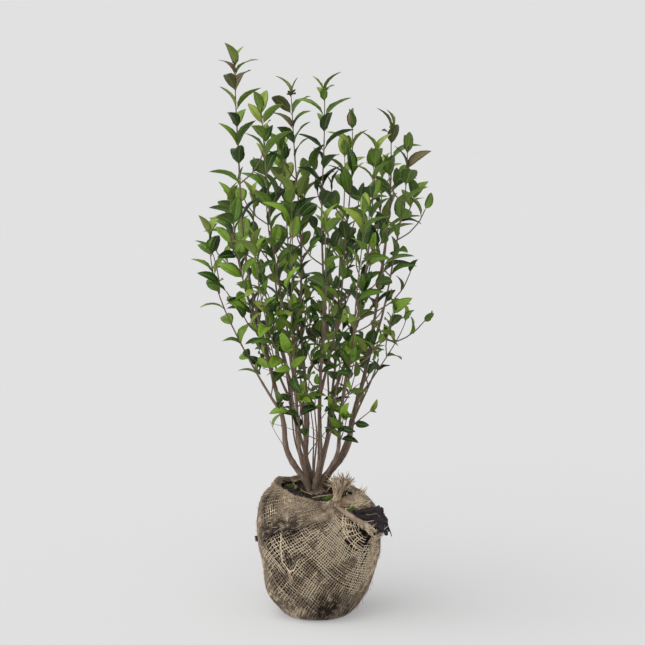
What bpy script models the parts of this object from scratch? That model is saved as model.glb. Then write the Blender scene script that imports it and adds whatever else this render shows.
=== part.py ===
"""A privet shrub whose root ball is wrapped in hessian, in metres, +Z up.

The ball stands on its flat underside, and the origin is that underside's centre. A
short stool stands on the soil, stems rise from it and fork, and each stem ends in a
leafy shoot. A shoot's axis, twigs and leaves follow one rule with a seeded draw.
"""

import math
import random
from collections import namedtuple

import bmesh
import bpy
from mathutils import Matrix, Vector
from mathutils.bvhtree import BVHTree
from mathutils.kdtree import KDTree

# Clearances
GAP = 0.0003
CLOTH_GAP = 0.0022
TRIM_GAP = 0.0005
LIMB_GAP = GAP * 1.3
LEAF_GAP = GAP * 1.5
JOIN = 2e-6

# Root ball: the cloth's outer shape, turned about a vertical line
FOOT_RADIUS = 0.056
BELLY_RADIUS = 0.117
BELLY_HEIGHT = 0.172
RIM_RADIUS = 0.086
RIM_HEIGHT = 0.248
ROLL_RADIUS = 0.0055
CLOTH = 0.0020
BELLY_SWELL = 0.6
SHOULDER_FALL = 2.4
BALL_STEPS = 26
LOWER_RINGS = 5
LOWER_SPACING = 1.7
UPPER_RINGS = 3

# Bulges of the ball: how many go round, where the first is, how far they wind from
# foot to rim, and their share of LUMP
LUMP = 0.0044
LUMPS = ((2, 0.6, 2.0, 1.0), (3, -1.4, -3.5, 0.8), (5, 0.0, 4.0, 0.3))
LUMP_FULL_AT = 0.25
LUMP_INNER = 0.040
LUMP_OUTER = 0.080
RIM_TILT = 0.010
RIM_HIGH_AT = math.radians(165)

# Soil
SOIL_TOP = 0.243
SOIL_EDGE = 0.236
SOIL_FLAT_RADIUS = 0.034
SOIL_SHOULDER = (0.054, 0.241)

# Torn place at the right of the front, where soil shows
TEAR_AT = math.radians(-40)
TEAR_HEIGHT = 0.186
TEAR_WIDTH = 0.072
TEAR_TALL = 0.066
TEAR_DEPTH = 0.050
TEAR_LEAN = math.radians(-25)
TEAR_SIDES = 7

# Knot at the front rim, with its tuft
KNOT_AT = math.radians(-72)
KNOT_HEIGHT = 0.240
KNOT_RADIUS = 0.013
KNOT_SEAT = 0.75
KNOT_FOLDS = 3
KNOT_FOLD_DEPTH = 0.14
KNOT_TWIST = 60.0
TUFT_HEIGHT = 0.036
TUFT_FOOT_RADIUS = 0.0065
TUFT_TOP_RADIUS = 0.0125
TUFT_SIDES = 7
TUFT_FRAY = 0.005
TUFT_LEAN = math.radians(-8)
TUFT_PLACE = Vector((0.0, 0.004, 0.006))

# Tongues that lie on the ball: where each starts and ends as (angle, height), its
# full width, the shares of it along its length, and how far its end stands off
Tongue = namedtuple("Tongue", "name start end width shares lift")
TONGUE_THICKNESS = 0.0024
TONGUE_SEAT = TONGUE_THICKNESS * 0.4
TONGUES = (
    Tongue(
        "hessian_tail",
        (KNOT_AT + 0.06, KNOT_HEIGHT - 0.004),
        (KNOT_AT + 0.43, KNOT_HEIGHT - 0.059),
        0.017,
        (0.55, 0.8, 0.95, 1.0, 1.0, 0.9, 0.5),
        0.004,
    ),
    Tongue(
        "hessian_fan",
        (KNOT_AT + 0.08, KNOT_HEIGHT + 0.004),
        (KNOT_AT + 0.51, KNOT_HEIGHT + 0.004),
        0.030,
        (0.3, 0.55, 0.8, 1.0, 0.85),
        0.003,
    ),
    Tongue(
        "peat_flap",
        (TEAR_AT - 0.10, TEAR_HEIGHT + 0.034),
        (TEAR_AT + 0.40, TEAR_HEIGHT + 0.021),
        0.026,
        (0.5, 0.85, 1.0, 0.9, 0.45),
        0.006,
    ),
)

# Stool, the short foot that every stem rises from
STOOL_HEIGHT = 0.016
STOOL_FOOT_RADIUS = 0.028
STOOL_NECK_RADIUS = 0.021
STOOL_CROWN = 0.003
STOOL_RINGS = 4
STOOL_STEPS = 20
STOOL_LOBES = 5
STOOL_LOBE_DEPTH = 0.12
FOOT_HEIGHT = SOIL_TOP + 0.006
FOOT_SPREAD = 0.017

# Stems
STEM_TIP_RADIUS = 0.0011
STEM_FLARE = 0.35
STEM_FLARE_HEIGHT = 0.020
STEM_WAVE = 0.0035
WAVE_FULL_ON = 0.30
WAVE_WIND = 15.0
WAVE_START = 2.4
STEM_STEP = 0.054
STEM_SIDES = 6
TWIG_SIDES = 3
TWIG_SIDE_SWELL = 1.15

# Leaves
SEED = 41
LEAF_LENGTH = 0.064
LEAF_LOW_SHARE = 0.72
LEAF_SLIMNESS = 0.50
LEAF_THICKNESS = 0.0015
LEAF_WIDEST_AT = 0.44
LEAF_THICKEST_AT = 0.48
LEAF_ROLL = math.radians(80)
ROOT_PAST_AXIS = 0.0001

# Leafy shoots
INTERNODE = 0.037
INTERNODE_SHRINK = 0.3
FIRST_NODE = 0.012
LAST_NODE = 0.014
SHOOT_STEP = 0.080
LEAF_ANGLE = 66
LEAF_ANGLE_FALL = 18
LEAF_ANGLE_SPREAD = 14
TIP_PAIR_ANGLE = 24
TIP_PAIR_DROP = 0.004
TIP_PAIR_SHARES = (0.62, 0.25)
YOUNG_FALL = 0.22
TURN_START = 0.35
TURN_SPREAD = 0.2

# Side twigs
SIDE_TWIG_CHANCE = 0.08
SIDE_TWIG_BELOW = 0.7
SIDE_TWIG_LENGTH = 0.085
SIDE_TWIG_STEP = 0.030
SIDE_TWIG_MARKS = (0.0, 0.35, 0.7, 1.0)
SIDE_TWIG_RADII = (0.0014, 0.0013, 0.0012, 0.0010)
SIDE_TWIG_FITS = (1.0, 0.75, 0.55)
SIDE_TWIG_PAIRS = 8

# The room of the crown, and of each shoot within it
CROWN_LEFT = -0.252
CROWN_RIGHT = 0.220
CROWN_DEPTH = 0.235
SPACE_MARGIN = 0.0012
SPACE_STEP = 0.008

# How a leaf that would leave its space is made to fit: share of its length, and
# degrees that it is lifted towards the stem
LEAF_FITS = ((1.0, 0.0), (0.92, 9.0), (0.84, 18.0), (0.74, 26.0), (0.64, 34.0))

# Each shoot: the stem that carries it (0 is the stool), the height of its fork, its
# tip, how soon it swings out (1 is straight, 2 early), its radius at the foot, and
# the height that it is leafless to (0 where leaves start at its foot)
Shoot = namedtuple("Shoot", "number carrier fork tip settle radius bare")
SHOOTS = [
    Shoot(number + 1, *row[:2], Vector(row[2]), *row[3:])
    for number, row in enumerate(
        (
            (0, FOOT_HEIGHT, (-0.156, -0.030, 1.074), 2.3, 0.0060, 0.545),
            (0, FOOT_HEIGHT, (-0.051, 0.025, 1.018), 0.8, 0.0050, 0.520),
            (0, FOOT_HEIGHT, (0.014, -0.055, 1.018), 1.0, 0.0052, 0.500),
            (0, FOOT_HEIGHT, (0.144, 0.050, 0.955), 2.3, 0.0068, 0.560),
            (0, FOOT_HEIGHT, (0.111, -0.060, 0.905), 1.4, 0.0044, 0.480),
            (0, FOOT_HEIGHT, (-0.104, -0.085, 0.985), 1.3, 0.0038, 0.500),
            (0, FOOT_HEIGHT, (-0.070, 0.085, 0.900), 1.3, 0.0032, 0.470),
            (0, FOOT_HEIGHT, (-0.105, 0.155, 0.890), 1.8, 0.0040, 0.470),
            (0, FOOT_HEIGHT, (0.055, 0.160, 0.900), 1.8, 0.0042, 0.475),
            (1, 0.405, (-0.210, 0.010, 0.752), 1.8, 0.0026, 0.468),
            (1, 0.500, (-0.162, -0.105, 0.820), 1.4, 0.0022, 0.555),
            (7, 0.400, (-0.126, 0.070, 0.815), 2.0, 0.0024, 0.480),
            (4, 0.505, (0.172, -0.030, 0.910), 1.8, 0.0030, 0.590),
            (4, 0.425, (0.170, -0.045, 0.590), 1.25, 0.0021, 0.475),
            (3, 0.440, (0.068, 0.030, 0.957), 2.2, 0.0028, 0.540),
            (6, 0.420, (-0.048, -0.150, 0.830), 1.6, 0.0025, 0.490),
            (3, 0.400, (0.016, -0.160, 0.780), 1.6, 0.0025, 0.480),
            (5, 0.420, (0.086, -0.155, 0.800), 1.6, 0.0026, 0.490),
            (6, 0.450, (-0.116, -0.160, 0.740), 1.6, 0.0022, 0.510),
            (8, 0.420, (-0.025, 0.185, 0.850), 1.4, 0.0026, 0.500),
            (9, 0.420, (0.130, 0.140, 0.870), 1.8, 0.0027, 0.490),
            (9, 0.390, (0.020, 0.215, 0.740), 1.6, 0.0022, 0.460),
            (8, 0.405, (-0.170, 0.115, 0.800), 1.7, 0.0026, 0.480),
            (4, 0.470, (0.140, 0.110, 0.790), 1.8, 0.0024, 0.545),
            (4, 0.370, (0.104, -0.025, 0.410), 1.0, 0.0014, 0.0),
            (5, 0.345, (0.056, -0.062, 0.400), 1.2, 0.0014, 0.0),
            (6, 0.365, (-0.030, -0.080, 0.450), 1.2, 0.0014, 0.0),
        )
    )
]

Leaf = namedtuple("Leaf", "place length width fold droop")
Twig = namedtuple("Twig", "points radii")


def clear_scene():
    for obj in list(bpy.data.objects):
        bpy.data.objects.remove(obj, do_unlink=True)


def new_collection(name):
    collection = bpy.data.collections.new(name)
    bpy.context.scene.collection.children.link(collection)
    return collection


def material(name, colour, roughness):
    """A plain finish for one kind of piece."""
    finish = bpy.data.materials.new(name)
    finish.use_nodes = True
    shader = finish.node_tree.nodes["Principled BSDF"]
    shader.inputs["Base Color"].default_value = (*colour, 1.0)
    shader.inputs["Roughness"].default_value = roughness
    shader.inputs["Metallic"].default_value = 0.0
    return finish


def object_of(bm, name, home):
    """The bmesh as an object, which takes the bmesh's place."""
    mesh = bpy.data.meshes.new(name)
    bm.to_mesh(mesh)
    bm.free()
    obj = bpy.data.objects.new(name, mesh)
    home.objects.link(obj)
    return obj


def drop(obj):
    """Removes an object with its mesh."""
    mesh = obj.data
    bpy.data.objects.remove(obj, do_unlink=True)
    bpy.data.meshes.remove(mesh)


def discard(collection):
    """Removes a collection with what it holds."""
    for obj in list(collection.objects):
        drop(obj)
    bpy.data.collections.remove(collection)


def islands(bm):
    """The mesh's groups of faces that are joined along edges."""
    left = set(bm.faces)
    groups = []
    while left:
        group, front = [], [left.pop()]
        while front:
            face = front.pop()
            group.append(face)
            for edge in face.edges:
                for other in edge.link_faces:
                    if other in left:
                        left.discard(other)
                        front.append(other)
        groups.append(group)
    return groups


def spread(group):
    """The diagonal of the box around a group of faces."""
    points = [vertex.co for face in group for vertex in face.verts]
    lows = Vector(min(point[i] for point in points) for i in range(3))
    highs = Vector(max(point[i] for point in points) for i in range(3))
    return (highs - lows).length


def evaluated_bmesh(obj):
    """What the object's modifiers make of it."""
    bpy.context.view_layer.update()
    source = obj.evaluated_get(bpy.context.evaluated_depsgraph_get())
    mesh = bpy.data.meshes.new_from_object(source)
    bm = bmesh.new()
    bm.from_mesh(mesh)
    bpy.data.meshes.remove(mesh)
    bmesh.ops.remove_doubles(bm, verts=bm.verts, dist=JOIN)
    return bm


def apply_modifiers(obj):
    """Makes the evaluated mesh the object's own, with its faces pointing out."""
    bm = evaluated_bmesh(obj)
    obj.modifiers.clear()
    bmesh.ops.recalc_face_normals(bm, faces=bm.faces)
    bm.to_mesh(obj.data)
    bm.free()


def apply_as_one_body(obj):
    """Applies the modifiers, and keeps only the outer surface of the widest body."""
    bm = evaluated_bmesh(obj)
    groups = sorted(islands(bm), key=spread)
    for scrap in groups[:-1]:
        bmesh.ops.delete(bm, geom=scrap, context="FACES")
    obj.modifiers.clear()
    bm.to_mesh(obj.data)
    bm.free()


def boolean(obj, operation, others):
    """A live Boolean with every object of a collection."""
    modifier = obj.modifiers.new(operation.title(), "BOOLEAN")
    modifier.operation = operation
    modifier.solver = "EXACT"
    modifier.operand_type = "COLLECTION"
    modifier.collection = others


def join_pieces(obj, pieces):
    """Fuses the pieces to the object, and discards them."""
    boolean(obj, "UNION", pieces)
    apply_as_one_body(obj)
    discard(pieces)


def cut_clear(obj, cutters):
    """Takes the cutters out of the object, and discards them."""
    boolean(obj, "DIFFERENCE", cutters)
    apply_as_one_body(obj)
    discard(cutters)


def swollen_copy(obj, by, home):
    """A copy whose faces are pushed out by the clearance."""
    bm = bmesh.new()
    bm.from_mesh(obj.data)
    bm.normal_update()
    moves = [vertex.normal * by * vertex.calc_shell_factor() for vertex in bm.verts]
    for vertex, move in zip(bm.verts, moves):
        vertex.co += move
    return object_of(bm, obj.name + "_clearance", home)


def turned(name, profile, steps, home):
    """A profile of (radius, height) points turned about the vertical axis."""
    bm = bmesh.new()
    points = [bm.verts.new((radius, 0.0, height)) for radius, height in profile]
    for low, high in zip(points, points[1:]):
        bm.edges.new((low, high))
    obj = object_of(bm, name, home)
    screw = obj.modifiers.new("Turn", "SCREW")
    screw.steps = screw.render_steps = steps
    screw.use_merge_vertices = True
    screw.merge_threshold = 1e-5
    apply_modifiers(obj)
    return obj


def smooth_step(low, high, value):
    share = min(max((value - low) / (high - low), 0.0), 1.0)
    return share * share * (3 - 2 * share)


# Root ball


def wall_radius(height):
    """Radius of the cloth's outer face: a full belly over a small flat foot."""
    if height <= BELLY_HEIGHT:
        rise = math.sin(math.pi / 2 * (max(height, 0.0) / BELLY_HEIGHT) ** BELLY_SWELL)
        return FOOT_RADIUS + (BELLY_RADIUS - FOOT_RADIUS) * rise
    rise = (height - BELLY_HEIGHT) / (RIM_HEIGHT - BELLY_HEIGHT)
    return BELLY_RADIUS - (BELLY_RADIUS - RIM_RADIUS) * rise**SHOULDER_FALL


def wall(inset, top, floor):
    """The wall's points from a flat floor up, set in from the outer face."""
    rings = range(1, LOWER_RINGS + 1)
    lower = [BELLY_HEIGHT * (k / LOWER_RINGS) ** LOWER_SPACING for k in rings]
    step = (top - BELLY_HEIGHT) / UPPER_RINGS
    upper = [BELLY_HEIGHT + step * k for k in range(1, UPPER_RINGS + 1)]
    return [(FOOT_RADIUS - inset, floor)] + [(wall_radius(z) - inset, z) for z in lower + upper]


def ball_lump(angle, height):
    """How far the ball's wall bulges at an angle and a height."""
    rise = height / RIM_HEIGHT
    bulge = sum(
        share * math.sin(rounds * angle + start + wind * rise)
        for rounds, start, wind, share in LUMPS
    )
    return LUMP * bulge * smooth_step(0.0, LUMP_FULL_AT, rise)


def rim_tilt(angle, height):
    """How far the ball's upper part is raised towards the side where its rim is high."""
    return RIM_TILT * math.cos(angle - RIM_HIGH_AT) * (height / RIM_HEIGHT) ** 4


def make_lumpy(obj):
    """The ball's bulges and its tilted rim, the same for cloth and soil."""
    for vertex in obj.data.vertices:
        x, y, z = vertex.co
        radius, angle = math.hypot(x, y), math.atan2(y, x)
        outer = smooth_step(LUMP_INNER, LUMP_OUTER, radius)
        if outer > 0:
            grown = 1 + ball_lump(angle, z) * outer / radius
            vertex.co = (x * grown, y * grown, z + rim_tilt(angle, z) * outer)


def surface_point(angle, height, lift):
    """A point that lies a little off the cloth's outer face."""
    radius = wall_radius(height) + ball_lump(angle, height) + lift
    return Vector(
        (radius * math.cos(angle), radius * math.sin(angle), height + rim_tilt(angle, height))
    )


def soil_ball(home):
    """The soil inside the cloth, with its slightly domed top."""
    floor = CLOTH + GAP
    profile = [(0.0, floor)] + wall(CLOTH + CLOTH_GAP, SOIL_EDGE, floor)
    profile += [SOIL_SHOULDER, (SOIL_FLAT_RADIUS, SOIL_TOP), (0.0, SOIL_TOP)]
    obj = turned("soil_ball", profile, BALL_STEPS, home)
    make_lumpy(obj)
    return obj


def rolled_rim(radius, degrees):
    """Points round the hem that is rolled over at the top."""
    turns = [math.radians(degree) for degree in degrees]
    return [
        (RIM_RADIUS + radius * math.cos(turn), RIM_HEIGHT + radius * math.sin(turn))
        for turn in turns
    ]


def tear_cutter(cutters):
    """The outline of the torn place, upright on the cloth."""
    bm = bmesh.new()
    bmesh.ops.create_cone(
        bm, cap_ends=True, segments=TEAR_SIDES, radius1=0.5, radius2=0.5, depth=TEAR_DEPTH
    )
    place = Matrix.Translation(surface_point(TEAR_AT, TEAR_HEIGHT, 0.0))
    outward = Matrix.Rotation(TEAR_AT + math.pi / 2, 4, "Z") @ Matrix.Rotation(math.pi / 2, 4, "X")
    lean = Matrix.Rotation(TEAR_LEAN, 4, "Z")
    size = Matrix.Diagonal((TEAR_WIDTH, TEAR_TALL, 1.0, 1.0))
    bmesh.ops.transform(bm, matrix=place @ outward @ lean @ size, verts=bm.verts)
    tear = object_of(bm, "tear", cutters)
    tear.hide_render = True
    tear.display_type = "WIRE"
    return tear


def hessian_wrap(home, cutters):
    """The cloth round the soil, open at its rolled rim and torn at the front right."""
    outer = wall(0.0, RIM_HEIGHT - ROLL_RADIUS, 0.0)
    rim = rolled_rim(ROLL_RADIUS, (0, 50, 100, 150, 200))
    inner = wall(CLOTH, SOIL_EDGE, CLOTH)
    profile = [(0.0, 0.0)] + outer + rim + inner[::-1] + [(0.0, CLOTH)]
    obj = turned("hessian_wrap", profile, BALL_STEPS, home)
    make_lumpy(obj)
    cut = obj.modifiers.new("Tear", "BOOLEAN")
    cut.object = tear_cutter(cutters)
    cut.operation = "DIFFERENCE"
    cut.solver = "EXACT"
    return obj


def ball_envelope(home):
    """The ball's whole outer shape, grown by the clearance, to cut what lies on it."""
    roll = ROLL_RADIUS + TRIM_GAP
    profile = [(0.0, -TRIM_GAP)] + wall(-TRIM_GAP, RIM_HEIGHT - ROLL_RADIUS, -TRIM_GAP)
    profile += rolled_rim(roll, (0, 50, 90)) + [(0.0, RIM_HEIGHT + roll)]
    obj = turned("envelope", profile, BALL_STEPS, home)
    make_lumpy(obj)
    return obj


def hessian_knot(home):
    """The knot where the cloth is tied, with the gathered tuft that stands up from it."""
    centre = surface_point(KNOT_AT, KNOT_HEIGHT, KNOT_RADIUS * KNOT_SEAT)
    bm = bmesh.new()
    bmesh.ops.create_icosphere(bm, subdivisions=2, radius=KNOT_RADIUS)
    for vertex in bm.verts:
        turn = math.atan2(vertex.co.y, vertex.co.x)
        fold = math.sin(KNOT_FOLDS * turn + KNOT_TWIST * vertex.co.z)
        vertex.co *= 1 + KNOT_FOLD_DEPTH * fold
    bmesh.ops.translate(bm, verts=bm.verts, vec=centre)
    obj = object_of(bm, "hessian_knot", home)
    bm = bmesh.new()
    bmesh.ops.create_cone(
        bm,
        cap_ends=True,
        segments=TUFT_SIDES,
        radius1=TUFT_FOOT_RADIUS,
        radius2=TUFT_TOP_RADIUS,
        depth=TUFT_HEIGHT,
    )
    for vertex in bm.verts:
        if vertex.co.z > 0:
            turn = math.atan2(vertex.co.y, vertex.co.x)
            vertex.co.z += TUFT_FRAY * math.sin(KNOT_FOLDS * turn)
    lean = Matrix.Rotation(TUFT_LEAN, 4, "X")
    place = centre + TUFT_PLACE + Vector((0.0, 0.0, TUFT_HEIGHT / 2))
    bmesh.ops.transform(bm, matrix=Matrix.Translation(place) @ lean, verts=bm.verts)
    pieces = new_collection("knot_pieces")
    object_of(bm, "tuft", pieces)
    join_pieces(obj, pieces)
    return obj


def tongue(shape, home):
    """A flat tongue that lies on the ball from one place to another."""
    angle_run = shape.end[0] - shape.start[0]
    height_run = shape.end[1] - shape.start[1]
    sides = (-0.5, 0.0, 0.5)
    bm = bmesh.new()
    rows = []
    for k, share_of_width in enumerate(shape.shares):
        share = k / (len(shape.shares) - 1)
        angle = shape.start[0] + angle_run * share
        height = shape.start[1] + height_run * share
        ahead = surface_point(angle + angle_run * 0.05, height + height_run * 0.05, 0.0)
        outward = Vector((math.cos(angle), math.sin(angle), 0.0))
        across = (ahead - surface_point(angle, height, 0.0)).cross(outward).normalized()
        middle = surface_point(angle, height, TONGUE_SEAT + shape.lift * share * share)
        width = shape.width * share_of_width
        rows.append([bm.verts.new(middle + across * width * side) for side in sides])
    for low, high in zip(rows, rows[1:]):
        for k in range(len(sides) - 1):
            bm.faces.new((low[k], low[k + 1], high[k + 1], high[k]))
    obj = object_of(bm, shape.name, home)
    thick = obj.modifiers.new("Thickness", "SOLIDIFY")
    thick.thickness = TONGUE_THICKNESS
    thick.offset = 0.0
    apply_modifiers(obj)
    return obj


def ball_trim(home):
    """The knot and the tongues, each seated on the cloth and clear of the others."""
    laid = []
    for obj in [hessian_knot(home)] + [tongue(shape, home) for shape in TONGUES]:
        cutters = new_collection("trim_cutters")
        ball_envelope(cutters)
        for other in laid:
            swollen_copy(other, GAP, cutters)
        cut_clear(obj, cutters)
        laid.append(obj)
    return laid


# Stool and stems


def stool_body(name, grow, home):
    """A lobed foot that flares to the soil, cut flat at soil level."""
    base = SOIL_TOP + GAP
    profile = [(0.0, base - grow)]
    for k in range(STOOL_RINGS + 1):
        share = k / STOOL_RINGS
        radius = STOOL_NECK_RADIUS + (STOOL_FOOT_RADIUS - STOOL_NECK_RADIUS) * (1 - share) ** 2
        low = base if k else base - grow
        profile.append((radius + grow, low + (STOOL_HEIGHT + grow) * share))
    profile.append((0.0, base + STOOL_HEIGHT + grow + STOOL_CROWN))
    obj = turned(name, profile, STOOL_STEPS, home)
    for vertex in obj.data.vertices:
        angle = math.atan2(vertex.co.y, vertex.co.x)
        share = (vertex.co.z - SOIL_TOP) / STOOL_HEIGHT
        lobe = 1 + STOOL_LOBE_DEPTH * math.cos(STOOL_LOBES * angle) * max(1 - share, 0.0)
        vertex.co.x *= lobe
        vertex.co.y *= lobe
    return obj


def foot_of(shoot):
    """Where a shoot leaves its carrier."""
    if shoot.carrier:
        return axis_point(SHOOTS[shoot.carrier - 1], shoot.fork)
    outward = Vector((shoot.tip.x, shoot.tip.y, 0.0)).normalized()
    return outward * FOOT_SPREAD + Vector((0.0, 0.0, FOOT_HEIGHT))


def climbed(shoot, height):
    """The share of a shoot's rise, from its foot to its tip, at a height."""
    foot = foot_of(shoot).z
    return min(max((height - foot) / (shoot.tip.z - foot), 0.0), 1.0)


def axis_point(shoot, height):
    """A point on a shoot's axis. It swings out from its foot ever less as it climbs."""
    foot = foot_of(shoot)
    rise = shoot.tip.z - foot.z
    share = climbed(shoot, height)
    out = 1 - (1 - share) ** shoot.settle
    sway = STEM_WAVE * math.sin(math.pi * share) * min(1.0, rise / WAVE_FULL_ON)
    turn = WAVE_START * shoot.number + WAVE_WIND * (height - foot.z)
    return Vector(
        (
            foot.x + (shoot.tip.x - foot.x) * out + sway * math.cos(turn),
            foot.y + (shoot.tip.y - foot.y) * out + sway * math.sin(turn),
            foot.z + rise * share,
        )
    )


def axis_direction(shoot, height):
    reach = 0.004
    return (axis_point(shoot, height + reach) - axis_point(shoot, height - reach)).normalized()


def climb(shoot, height, distance):
    """The height reached after a distance along the axis."""
    return height + distance * max(axis_direction(shoot, height).z, 0.2)


def axis_radius(shoot, height):
    """The stem's radius, which tapers to its tip and flares a little at its foot."""
    flare = 1 + STEM_FLARE * math.exp((foot_of(shoot).z - height) / STEM_FLARE_HEIGHT)
    taper = (shoot.radius - STEM_TIP_RADIUS) * (1 - climbed(shoot, height))
    return (STEM_TIP_RADIUS + taper) * flare


def even_run(low, high, step):
    """Evenly spaced heights from low to high, both included."""
    count = max(2, round((high - low) / step))
    return [low + (high - low) * k / count for k in range(count + 1)]


def three_sided_outline(home):
    """The section that twigs are drawn with."""
    curve = bpy.data.curves.new("three_sided", "CURVE")
    spline = curve.splines.new("POLY")
    spline.points.add(TWIG_SIDES - 1)
    spline.use_cyclic_u = True
    for k, place in enumerate(spline.points):
        turn = math.pi / 2 + math.tau * k / TWIG_SIDES
        place.co = (TWIG_SIDE_SWELL * math.cos(turn), TWIG_SIDE_SWELL * math.sin(turn), 0.0, 1.0)
    obj = bpy.data.objects.new("three_sided", curve)
    obj.hide_render = True
    home.objects.link(obj)


def tube(name, points, radii, sides, home):
    """A tapering limb along the points, closed at both ends, as a mesh."""
    curve = bpy.data.curves.new(name, "CURVE")
    curve.dimensions = "3D"
    curve.use_fill_caps = True
    if sides == TWIG_SIDES:
        curve.bevel_mode = "OBJECT"
        curve.bevel_object = bpy.data.objects["three_sided"]
    else:
        curve.bevel_depth = 1.0
        curve.bevel_resolution = (sides - 4) // 2
    spline = curve.splines.new("POLY")
    spline.points.add(len(points) - 1)
    for place, point, radius in zip(spline.points, points, radii):
        place.co = (*point, 1.0)
        place.radius = radius
    source = bpy.data.objects.new(name + "_curve", curve)
    home.objects.link(source)
    bm = evaluated_bmesh(source)
    bmesh.ops.recalc_face_normals(bm, faces=bm.faces)
    bpy.data.objects.remove(source, do_unlink=True)
    bpy.data.curves.remove(curve)
    return object_of(bm, name, home)


def stem_tube(shoot, name, grow, home):
    """A shoot's leafless limb, from inside its carrier to where its leaves start."""
    heights = even_run(foot_of(shoot).z, shoot.bare, STEM_STEP)
    points = [axis_point(shoot, z) for z in heights]
    radii = [axis_radius(shoot, z) + grow for z in heights]
    return tube(name, points, radii, STEM_SIDES, home)


def may_meet(shoot, number):
    """Whether a limb could touch an earlier one: its carrier, or its mate on the stool."""
    return number == shoot.carrier or not (shoot.carrier or SHOOTS[number - 1].carrier)


def stems(home):
    """Every limb, each cut clear of the stool and of the limbs made before it."""
    made = {}
    for shoot in SHOOTS:
        if not shoot.bare:
            continue
        limb = stem_tube(shoot, f"stem_{shoot.number:02d}", 0.0, home)
        cutters = new_collection("stem_cutters")
        if not shoot.carrier:
            stool_body("stool_clearance", GAP, cutters)
        for number in made:
            if may_meet(shoot, number):
                stem_tube(SHOOTS[number - 1], "stem_clearance", LIMB_GAP, cutters)
        cut_clear(limb, cutters)
        made[shoot.number] = limb
    return list(made.values())


# Leafy shoots


def on_twig(twig, marks, mark):
    """The point of a twig's straight runs at a mark between those of its points."""
    k = max(i for i in range(len(marks) - 1) if marks[i] <= mark or i == 0)
    return twig.points[k].lerp(twig.points[k + 1], (mark - marks[k]) / (marks[k + 1] - marks[k]))


def leafy_start(shoot):
    return shoot.bare + GAP if shoot.bare else foot_of(shoot).z


def leafy_axes():
    """For each shoot, a search tree over points along its leafy length."""
    trees = {}
    for shoot in SHOOTS:
        heights = even_run(leafy_start(shoot), shoot.tip.z, SPACE_STEP)
        tree = KDTree(len(heights))
        for k, height in enumerate(heights):
            tree.insert(axis_point(shoot, height), k)
        tree.balance()
        trees[shoot.number] = tree
    return trees


def in_space(shoot, points, axes):
    """Whether every point is in the crown, and nearer this shoot's axis than any other's."""
    for point in points:
        if not CROWN_LEFT < point.x < CROWN_RIGHT or abs(point.y) > CROWN_DEPTH:
            return False
        own = axes[shoot.number].find(point)[2] + SPACE_MARGIN
        if any(axes[n].find(point)[2] < own for n in axes if n != shoot.number):
            return False
    return True


def leaf_place(at, along, outward, angle, roll):
    """Where a leaf lies: its length out from the stem, its upper face to the shoot's tip."""
    length = (along * math.cos(angle) + outward * math.sin(angle)).normalized()
    upper = (along - length * along.dot(length)).normalized()
    upper = Matrix.Rotation(roll, 3, length) @ upper
    across = upper.cross(length)
    turn = Matrix((length, across, upper)).transposed().to_4x4()
    return Matrix.Translation(at) @ turn


def leaf_points(leaf, root):
    """Root, tip, the two sides and the upper and lower face of the midrib."""
    length, half = leaf.length, leaf.width / 2
    arch = length * leaf.droop
    side_lift = arch / 2 + half * leaf.fold
    return (
        Vector((-root, 0.0, 0.0)),
        Vector((length, 0.0, -arch)),
        Vector((length * LEAF_WIDEST_AT, half, side_lift)),
        Vector((length * LEAF_WIDEST_AT, -half, side_lift)),
        Vector((length * LEAF_THICKEST_AT, 0.0, (arch + LEAF_THICKNESS) / 2)),
        Vector((length * LEAF_THICKEST_AT, 0.0, (arch - LEAF_THICKNESS) / 2)),
    )


def fitted_leaf(shoot, axes, at, along, outward, size, angle, draws):
    """The leaf as it fits its shoot's space, or None."""
    for share, lift in LEAF_FITS:
        place = leaf_place(
            at, along, outward, angle - math.radians(lift), LEAF_ROLL * (draws[0] - 0.5)
        )
        length = size * share
        width = length * LEAF_SLIMNESS * (0.88 + 0.24 * draws[1])
        leaf = Leaf(place, length, width, 0.22 + 0.26 * draws[2], 0.08 + 0.12 * draws[3])
        reach = [place @ point for point in leaf_points(leaf, 0.0)[1:4]]
        if in_space(shoot, reach, axes):
            return leaf
    return None


def leaf_size(height):
    """Low leaves are old and small, and those high in the light are full size."""
    grown = smooth_step(0.50, 0.80, height)
    return LEAF_LENGTH * (LEAF_LOW_SHARE + (1 - LEAF_LOW_SHARE) * grown)


def outward_at(along, turn):
    """A unit vector square to the stem, turned round it from the +X side."""
    side = Vector((1.0, 0.0, 0.0))
    side = (side - along * side.dot(along)).normalized()
    return Matrix.Rotation(turn, 3, along) @ side


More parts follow.
